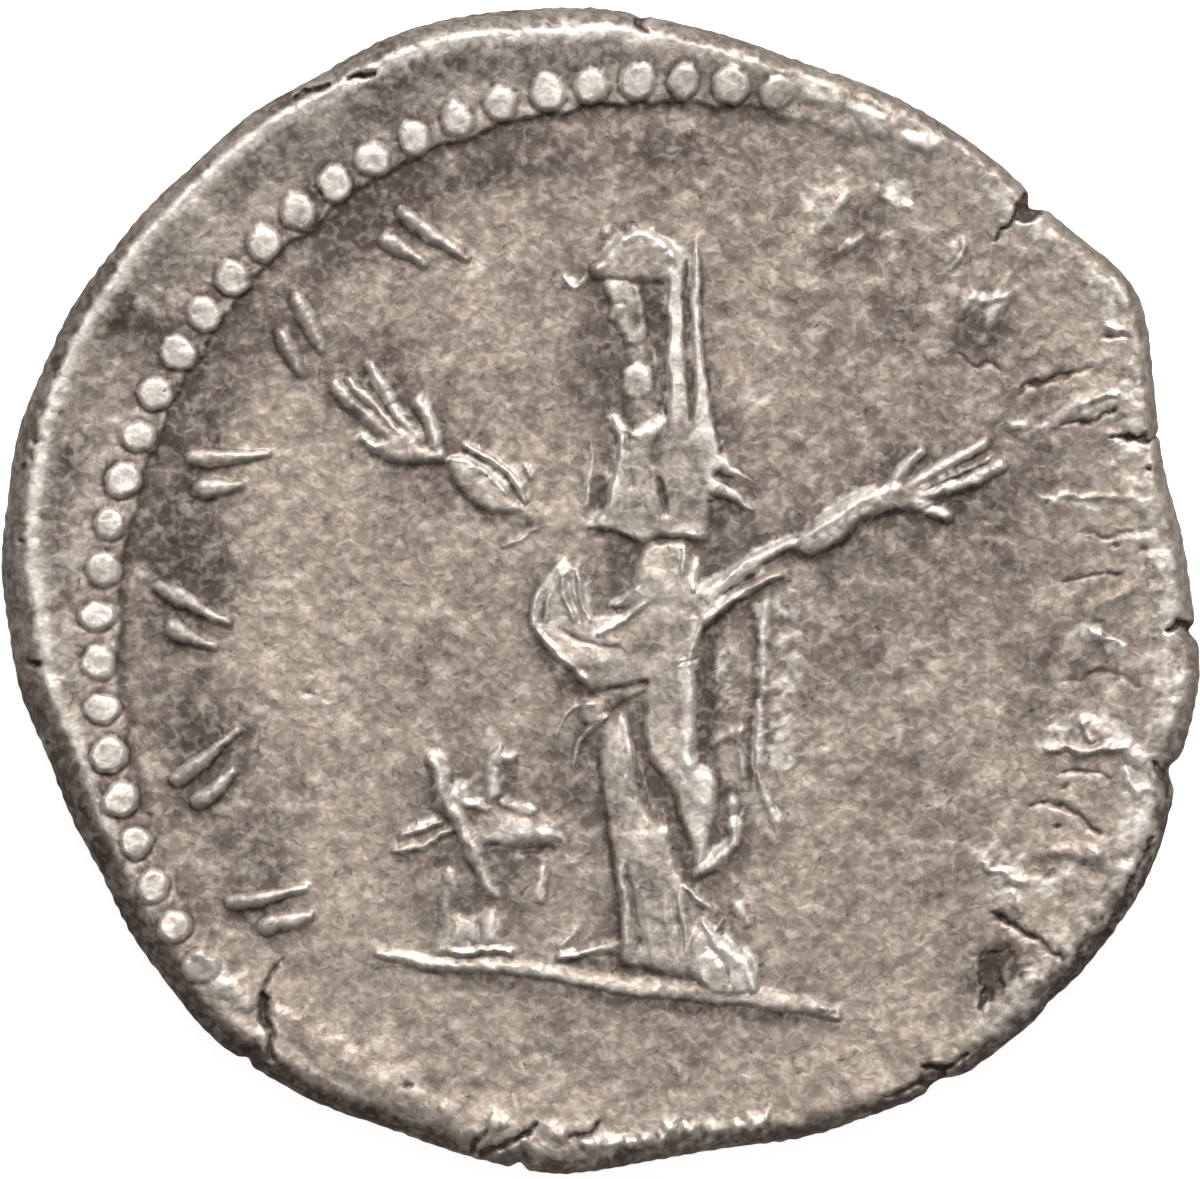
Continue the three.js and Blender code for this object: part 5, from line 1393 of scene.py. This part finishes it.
def ring_quads(inner, outer):
    """Quads between two rings of as many points."""
    return np.stack((inner, outer, np.roll(outer, -1), np.roll(inner, -1)), 1)


def reverse_level(x, y, face, angle, inset, crest):
    """Height of the reverse at points, with its field and its rim."""
    settings = bpy.context.scene.denarius_flan
    lift = settings.rim_rise / MM * (RIM_MEAN + RIM_SWING * np.cos(np.radians(angle - RIM_TOWARDS)))
    slope = 1 - np.clip((inset - crest) / (settings.rim_width / MM), 0, 1)
    return settings.field_height / MM + lift * slope**1.3 + sampled(face.height, x, y)


def obverse_level(x, y, face, inset):
    """Height of the obverse at points: a rim that the coin rests on round a sunken field."""
    sunk = OBVERSE_DEPTH * eased(inset, *OBVERSE_RIM)
    return sunk - np.minimum(np.clip(sampled(face.height, -x, y), 0, None), sunk)


class Shell:
    """Points and triangles of a closed mesh as it grows."""

    def __init__(self):
        self.points, self.triangles = [], []
        self.total = 0

    def add(self, x, y, z):
        """Adds points, and gives their places in the list."""
        self.points.append(np.stack((x, y, z), 1))
        self.total += len(x)
        return np.arange(self.total - len(x), self.total)

    def fill(self, quads, flip=False):
        """Adds two triangles for each quad, turned over for the face that looks down."""
        for corner in ((0, 2, 1), (0, 3, 2)) if flip else ((0, 1, 2), (0, 2, 3)):
            self.triangles.append(quads[:, corner])


class Disc:
    """A grid of points laid out inside the outline less an edge, and its border."""

    def __init__(self, outline, count, edge):
        u, v, self.border, self.quads = disc_grid(count)
        self.angle = np.degrees(np.arctan2(v, u)) % 360
        reach = outline.radius(self.angle)
        share = np.hypot(u, v)
        at = share * (reach - edge(self.angle))
        unit = np.where(share > 0, share, 1)
        self.x, self.y = u / unit * at, v / unit * at
        self.inset = reach - at
        self.ring_angle = self.angle[self.border]
        self.ring_reach = reach[self.border]

    def on_ring(self, inset):
        """Points round the outline, at an inset from it."""
        turn = np.radians(self.ring_angle)
        at = self.ring_reach - inset
        return at * np.cos(turn), at * np.sin(turn)


def add_reverse(shell, outline, face, count):
    """Adds the reverse face out to the crest of its rim, then rings down to the outline."""
    disc = Disc(outline, count, outline.band)
    level = reverse_level(disc.x, disc.y, face, disc.angle, disc.inset, outline.band(disc.angle))
    inner = shell.add(disc.x, disc.y, level)[disc.border]
    shell.fill(disc.quads)
    band = outline.band(disc.ring_angle)
    for step in range(1, EDGE_STEPS + 1):
        turn = math.pi / 2 * (1 - step / EDGE_STEPS)
        x, y = disc.on_ring(band * (1 - math.cos(turn)))
        lump = 0.008 * wave_noise(70 + step // 5, disc.ring_angle, 40, 30, 260) * math.sin(2 * turn)
        top = reverse_level(x, y, face, disc.ring_angle, band, band)
        outer = shell.add(x, y, EQUATOR + (top - EQUATOR) * math.sin(turn) ** 0.85 + lump)
        shell.fill(ring_quads(inner, outer))
        inner = outer
    return inner


def add_obverse(shell, outline, face, count):
    """Adds the obverse face out to its rim, then rings up to just under the outline."""
    disc = Disc(outline, count, lambda _angle: OBVERSE_EDGE)
    faces = shell.add(disc.x, disc.y, obverse_level(disc.x, disc.y, face, disc.inset))
    shell.fill(disc.quads + faces[0], flip=True)
    inner = faces[disc.border]
    for step in range(1, EDGE_STEPS):
        turn = math.pi / 2 * (1 - step / EDGE_STEPS)
        x, y = disc.on_ring(OBVERSE_EDGE * (1 - math.cos(turn)))
        lump = 0.02 * wave_noise(90 + step // 5, disc.ring_angle, 40, 30, 160) * math.sin(2 * turn)
        outer = shell.add(x, y, EQUATOR * (1 - math.sin(turn)) + np.abs(lump))
        shell.fill(ring_quads(inner, outer), flip=True)
        inner = outer
    return inner


def flan_mesh(outline, reverse, obverse):
    """Closed mesh of the coin in millimetres: two faces, joined round the outline."""
    shell = Shell()
    count = FACE_CELLS
    upper = add_reverse(shell, outline, reverse, count)
    lower = add_obverse(shell, outline, obverse, count // 2)

    # The reverse has two points on the outline for each one of the obverse.
    left, right, after = upper[0::2], upper[1::2], np.roll(upper[0::2], -1)
    along = np.roll(lower, -1)
    for corners in ((lower, along, right), (along, after, right), (lower, right, left)):
        shell.triangles.append(np.stack(corners, 1))
    return np.concatenate(shell.points), np.concatenate(shell.triangles)


def mesh_from(name, points, triangles):
    """A triangle mesh from arrays of points and corners."""
    mesh = bpy.data.meshes.new(name)
    mesh.vertices.add(len(points))
    mesh.vertices.foreach_set("co", points.astype(np.float32).ravel())
    mesh.loops.add(3 * len(triangles))
    mesh.loops.foreach_set("vertex_index", triangles.astype(np.int32).ravel())
    mesh.polygons.add(len(triangles))
    mesh.polygons.foreach_set("loop_start", np.arange(0, 3 * len(triangles), 3, dtype=np.int32))
    mesh.update(calc_edges=True)
    return mesh


def thinned(mesh, limit):
    """The mesh with fewer triangles where it is smooth."""
    carrier = bpy.data.objects.new("Blank", mesh)
    bpy.context.scene.collection.objects.link(carrier)
    modifier = carrier.modifiers.new("Thin", "DECIMATE")
    modifier.ratio = min(1.0, limit / len(mesh.polygons))
    modifier.use_collapse_triangulate = True
    return evaluated_mesh(carrier)


def silver():
    """Toned, worn silver: grey-brown field, dark toning with painted shade, bright worn tops and a
    crystalline grain.
    """
    settings = bpy.context.scene.denarius_silver
    material = bpy.data.materials.new("toned_silver")
    material.use_nodes = True
    tree = material.node_tree
    tree.nodes.clear()
    add, maths = partial(node, tree), partial(maths_node, tree)
    place = add("ShaderNodeTexCoord").outputs["Object"]
    per_mm = add("ShaderNodeMapping", Vector=place, Scale=(1 / MM, 1 / MM, 1 / MM))

    def noise(scale, detail=1.0, bend=0.0, output="Fac"):
        made = add("ShaderNodeTexNoise", Vector=per_mm, Scale=scale, Detail=detail, Distortion=bend)
        return made.outputs[output]

    def spread(value, low, high, least, most):
        made = add("ShaderNodeMapRange", From_Min=low, From_Max=high, To_Min=least, To_Max=most,
                   Value=value)
        return made.outputs["Result"]

    def clamped(value):
        return add("ShaderNodeClamp", Value=value).outputs["Result"]

    def mixed(amount, first, second):
        made = add("ShaderNodeMix", data_type="RGBA", Factor=amount)
        for label, value in (("A", first), ("B", second)):
            socket = next(s for s in made.inputs if s.name == label and s.type == "RGBA")
            if isinstance(value, tuple):
                socket.default_value = value
            else:
                tree.links.new(value, socket)
        return next(s for s in made.outputs if s.type == "RGBA")

    # This attribute carries both the toning and the painted shade.
    toning = add("ShaderNodeAttribute", attribute_name="toning").outputs["Fac"]
    wear = add("ShaderNodeAttribute", attribute_name="wear").outputs["Fac"]
    crystals = noise(7.0, bend=0.5)
    blots = noise(4.0, bend=0.4)
    creases = maths("PINGPONG", maths("MULTIPLY", noise(3.5, detail=0.5, bend=0.9), 4.0), 0.5)

    # Thin dark seams in some places, where a noise passes through its middle.
    middle = maths("ABSOLUTE", maths("SUBTRACT", noise(5.0, bend=0.8), 0.5), 0.0)
    somewhere = spread(noise(3.0, detail=0.0), 0.5, 0.58, 0.0, 1.0)
    seams = maths("MULTIPLY", spread(middle, 0.0, 0.022, 1.0, 0.0), somewhere)

    # Flakes with their own shade, bounded by bent cells.
    bend_by = 0.12
    bent = add("ShaderNodeVectorMath", operation="MULTIPLY_ADD")
    tree.links.new(noise(5.0, output="Color"), bent.inputs[0])
    bent.inputs[1].default_value = (bend_by, bend_by, bend_by)
    tree.links.new(per_mm.outputs["Vector"], bent.inputs[2])
    cells = add("ShaderNodeTexVoronoi", Vector=bent, Scale=7.0)
    flake = add("ShaderNodeSeparateColor", Color=cells.outputs["Color"]).outputs["Red"]

    # The noises run from about the first to the second of these levels.
    levels = (0.36, 0.64)
    blot = maths("ADD", spread(blots, *levels, 0.08, -0.08), spread(crystals, *levels, 0.07, -0.07))
    blot = maths("ADD", blot, maths("MULTIPLY", seams, 0.42))
    blot = maths("MULTIPLY", blot, spread(toning, 0.3, 1.0, 1.0, 0.45))
    dark = clamped(maths("ADD", toning, blot))
    worn = clamped(maths("ADD", wear, spread(crystals, *levels, -0.13, 0.12)))
    colour = mixed(dark, tuple(settings.field_colour), tuple(settings.toning_and_shade_colour))
    colour = mixed(worn, colour, tuple(settings.worn_colour))
    shade = maths("MULTIPLY", spread(crystals, *levels, 0.95, 1.05), spread(flake, 0.0, 1.0, 0.91, 1.09))
    shade = maths("MULTIPLY", shade, spread(creases, 0.0, 0.18, 0.91, 1.01))
    speckled = add("ShaderNodeVectorMath", operation="SCALE", Vector=colour, Scale=shade)

    # The toning and painted shade are rougher than the field and the worn tops are smoother.
    rough = spread(dark, 0.0, 1.0, settings.roughness, settings.roughness + 0.16)
    rough = maths("SUBTRACT", rough, spread(worn, 0.0, 1.0, 0.0, 0.08))
    bump = add("ShaderNodeBump", Strength=1.0, Distance=settings.grain_depth, Height=crystals)
    metal = add("ShaderNodeBsdfPrincipled", Metallic=settings.metallic, Base_Color=speckled,
                Roughness=rough, Normal=bump)
    add("ShaderNodeOutputMaterial", Surface=metal)
    return material


class DenariusFlan(bpy.types.PropertyGroup):
    """Sizes of the hammered flan."""

    radius: FloatProperty(
        name="Radius", description="Mean radius of the outline",
        default=9.4 * MM, unit="LENGTH",
    )
    field_height: FloatProperty(
        name="Field height", description="Height of the reverse field above the table",
        default=1.3 * MM, unit="LENGTH",
    )
    rim_rise: FloatProperty(
        name="Rim rise", description="Most that the rim stands above the field",
        default=0.17 * MM, unit="LENGTH",
    )
    rim_width: FloatProperty(
        name="Rim width", description="Width of the rim inside its crest",
        default=1.1 * MM, unit="LENGTH",
    )
    triangles: IntProperty(
        name="Triangles", description="Most triangles of the finished coin",
        default=196000,
    )


class DenariusDie(bpy.types.PropertyGroup):
    """Sizes of the struck design."""

    shift: FloatVectorProperty(
        name="Die shift", description="How far off the flan's centre the die struck",
        size=2, default=(0.93 * MM, -0.84 * MM), unit="LENGTH",
    )
    figure_relief: FloatProperty(
        name="Figure relief", description="Factor on the figure's height",
        default=0.75,
    )
    bead_count: IntProperty(name="Beads", description="Beads in the full ring", default=76)
    bead_size: FloatProperty(
        name="Bead size", description="Mean size of a bead",
        default=0.59 * MM, unit="LENGTH",
    )
    bead_height: FloatProperty(
        name="Bead height", description="Height of an unworn bead",
        default=0.19 * MM, unit="LENGTH",
    )
    ring_radius: FloatProperty(
        name="Ring radius", description="Radius of the bead ring",
        default=8.95 * MM, unit="LENGTH",
    )
    row_radius: FloatProperty(
        name="Row radius", description="Radius of the stroke rows",
        default=7.45 * MM, unit="LENGTH",
    )
    stroke_length: FloatProperty(
        name="Stroke length", description="Length of a long stroke",
        default=1.4 * MM, unit="LENGTH",
    )
    stroke_width: FloatProperty(
        name="Stroke width", description="Width of a stroke near its outer end",
        default=0.42 * MM, unit="LENGTH",
    )


class DenariusSilver(bpy.types.PropertyGroup):
    """Finish of the toned silver."""

    field_colour: FloatVectorProperty(
        name="Field", description="Colour of the open field",
        subtype="COLOR", size=4, default=(0.67, 0.562, 0.472, 1.0),
    )
    # This colour darkens both the toning and the painted shade.
    toning_and_shade_colour: FloatVectorProperty(
        name="Toning", description="Colour of the dark toning in the hollows",
        subtype="COLOR", size=4, default=(0.128, 0.094, 0.078, 1.0),
    )
    worn_colour: FloatVectorProperty(
        name="Worn", description="Colour of the worn tops",
        subtype="COLOR", size=4, default=(0.94, 0.855, 0.77, 1.0),
    )
    metallic: FloatProperty(
        name="Metallic", description="Share of metal reflection",
        default=0.7, subtype="FACTOR",
    )
    roughness: FloatProperty(
        name="Roughness", description="Roughness of the open field",
        default=0.54, subtype="FACTOR",
    )
    grain_depth: FloatProperty(
        name="Grain depth", description="Depth of the fine grain",
        default=0.012 * MM, unit="LENGTH",
    )


class DenariusStage(bpy.types.PropertyGroup):
    """Table, light and camera."""

    floor_colour: FloatVectorProperty(
        name="Floor", description="Colour of the table",
        subtype="COLOR", size=4, default=(0.9, 0.9, 0.9, 1.0),
    )
    view_width: FloatProperty(
        name="View width", description="Width of the table that the camera sees",
        default=19.2 * MM, unit="LENGTH",
    )
    camera_height: FloatProperty(
        name="Camera height", description="Height of the camera above the table",
        default=0.3, unit="LENGTH",
    )
    key_power: FloatProperty(
        name="Key", description="Power of the slanting lamp",
        default=1.16, unit="POWER",
    )
    top_power: FloatProperty(
        name="Top", description="Power of the overhead lamp",
        default=0.26, unit="POWER",
    )
    fill: FloatProperty(name="Fill", description="Brightness of the surroundings", default=0.07)


class DENARIUS_OT_strike_coin(bpy.types.Operator):
    """Strike the coin over its solid, with relief, beads, cracks and toning"""

    bl_idname = "denarius.strike_coin"
    bl_label = "Strike coin"

    def execute(self, context):
        metal = silver()
        beads, strokes = bead_tree(metal), stroke_tree(metal)
        outline = Outline()
        reverse = strike_reverse(outline, beads, strokes)
        obverse = strike_obverse(beads, strokes)
        points, triangles = flan_mesh(outline, reverse, obverse)
        mesh = mesh_from("struck_coin", points, triangles)
        mesh = thinned(mesh, context.scene.denarius_flan.triangles)

        place = np.empty(3 * len(mesh.vertices), np.float32)
        mesh.vertices.foreach_get("co", place)
        x, y, z = place.reshape(-1, 3).T
        # Each point takes the toning, with its painted shade, and the wear of the face it lies on.
        for name in ("toning", "wear"):
            above = sampled(getattr(reverse, name), x, y)
            below = sampled(getattr(obverse, name), -x, y)
            value = np.where(z > EQUATOR, above, below).astype(np.float32)
            mesh.attributes.new(name, "FLOAT", "POINT").data.foreach_set("value", value)
        mesh.vertices.foreach_set("co", place * MM)
        mesh.materials.clear()
        mesh.materials.append(metal)
        mesh.shade_smooth()
        mesh.update()
        if mesh.validate():
            raise RuntimeError("the struck coin's mesh isn't sound")

        coin = bpy.data.objects.new("struck_coin", mesh)
        context.scene.collection.objects.link(coin)
        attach(coin, "root")
        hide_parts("coin")
        return {"FINISHED"}


class DENARIUS_OT_set_stage(bpy.types.Operator):
    """Set the pale table, the soft lamps and the camera that looks straight down"""

    bl_idname = "denarius.set_stage"
    bl_label = "Set stage"

    def execute(self, context):
        scene = context.scene
        settings = scene.denarius_stage
        scene.view_settings.view_transform = "Standard"
        scene.view_settings.look = "None"

        half = TABLE_HALF
        floor_mesh = bpy.data.meshes.new("table")
        corners = [(-half, -half, 0), (half, -half, 0), (half, half, 0), (-half, half, 0)]
        floor_mesh.from_pydata(corners, [], [(0, 1, 2, 3)])
        paper = bpy.data.materials.new("white_paper")
        paper.use_nodes = True
        sheet = paper.node_tree.nodes["Principled BSDF"]
        sheet.inputs["Base Color"].default_value = settings.floor_colour
        sheet.inputs["Roughness"].default_value = 0.9
        sheet.inputs["Emission Color"].default_value = (1.0, 1.0, 1.0, 1.0)
        sheet.inputs["Emission Strength"].default_value = 0.85
        floor_mesh.materials.append(paper)
        floor = bpy.data.objects.new("table", floor_mesh)
        scene.collection.objects.link(floor)
        floor.visible_glossy = False

        world = bpy.data.worlds.new("soft_room")
        world.use_nodes = True
        room = world.node_tree.nodes["Background"]
        room.inputs["Color"].default_value = (1.0, 0.99, 0.97, 1.0)
        room.inputs["Strength"].default_value = settings.fill
        scene.world = world

        lamps = (
            ("key_lamp", (0.04, 0.23, 0.25), 0.22, settings.key_power),
            ("top_lamp", (0.0, 0.05, 0.5), 0.3, settings.top_power),
        )
        for name, place, size, power in lamps:
            light = bpy.data.lights.new(name, "AREA")
            light.shape = "DISK"
            light.size = size
            light.energy = power
            lamp = bpy.data.objects.new(name, light)
            lamp.location = place
            lamp.rotation_euler = (-Vector(place)).to_track_quat("-Z", "Y").to_euler()
            lamp.visible_camera = False
            scene.collection.objects.link(lamp)

        lens = bpy.data.cameras.new("copy_camera")
        lens.sensor_width = SENSOR_WIDTH
        lens.lens = SENSOR_WIDTH * (settings.camera_height - FRAMED_HEIGHT) / settings.view_width
        lens.clip_start = 0.01
        lens.clip_end = 10.0
        camera = bpy.data.objects.new("copy_camera", lens)
        camera.location = (0.0, 0.0, settings.camera_height)
        scene.collection.objects.link(camera)
        scene.camera = camera
        return {"FINISHED"}


class DENARIUS_PT_panel(bpy.types.Panel):
    """Settings and steps of the denarius"""

    bl_idname = "DENARIUS_PT_panel"
    bl_label = "Denarius"
    bl_space_type = "VIEW_3D"
    bl_region_type = "UI"
    bl_category = "Denarius"

    def draw(self, context):
        for group, kind in SETTINGS:
            box = self.layout.box()
            box.label(text=group.removeprefix("denarius_").capitalize())
            for name in kind.__annotations__:
                box.prop(getattr(context.scene, group), name)
        self.layout.operator(DENARIUS_OT_strike_coin.bl_idname)
        self.layout.operator(DENARIUS_OT_set_stage.bl_idname)


SETTINGS = (
    ("denarius_flan", DenariusFlan),
    ("denarius_die", DenariusDie),
    ("denarius_silver", DenariusSilver),
    ("denarius_stage", DenariusStage),
)
TOOLS = (DENARIUS_OT_strike_coin, DENARIUS_OT_set_stage, DENARIUS_PT_panel)


def register():
    """Registers the settings, the operators and the panel."""
    for name, group in SETTINGS:
        bpy.utils.register_class(group)
        setattr(bpy.types.Scene, name, PointerProperty(type=group))
    for tool in TOOLS:
        bpy.utils.register_class(tool)


def unregister():
    """Takes back what register added."""
    for tool in reversed(TOOLS):
        bpy.utils.unregister_class(tool)
    for name, group in reversed(SETTINGS):
        delattr(bpy.types.Scene, name)
        bpy.utils.unregister_class(group)


def main():
    """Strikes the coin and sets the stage."""
    register()
    bpy.ops.denarius.strike_coin()
    bpy.ops.denarius.set_stage()


if __name__ == "__main__":
    main()
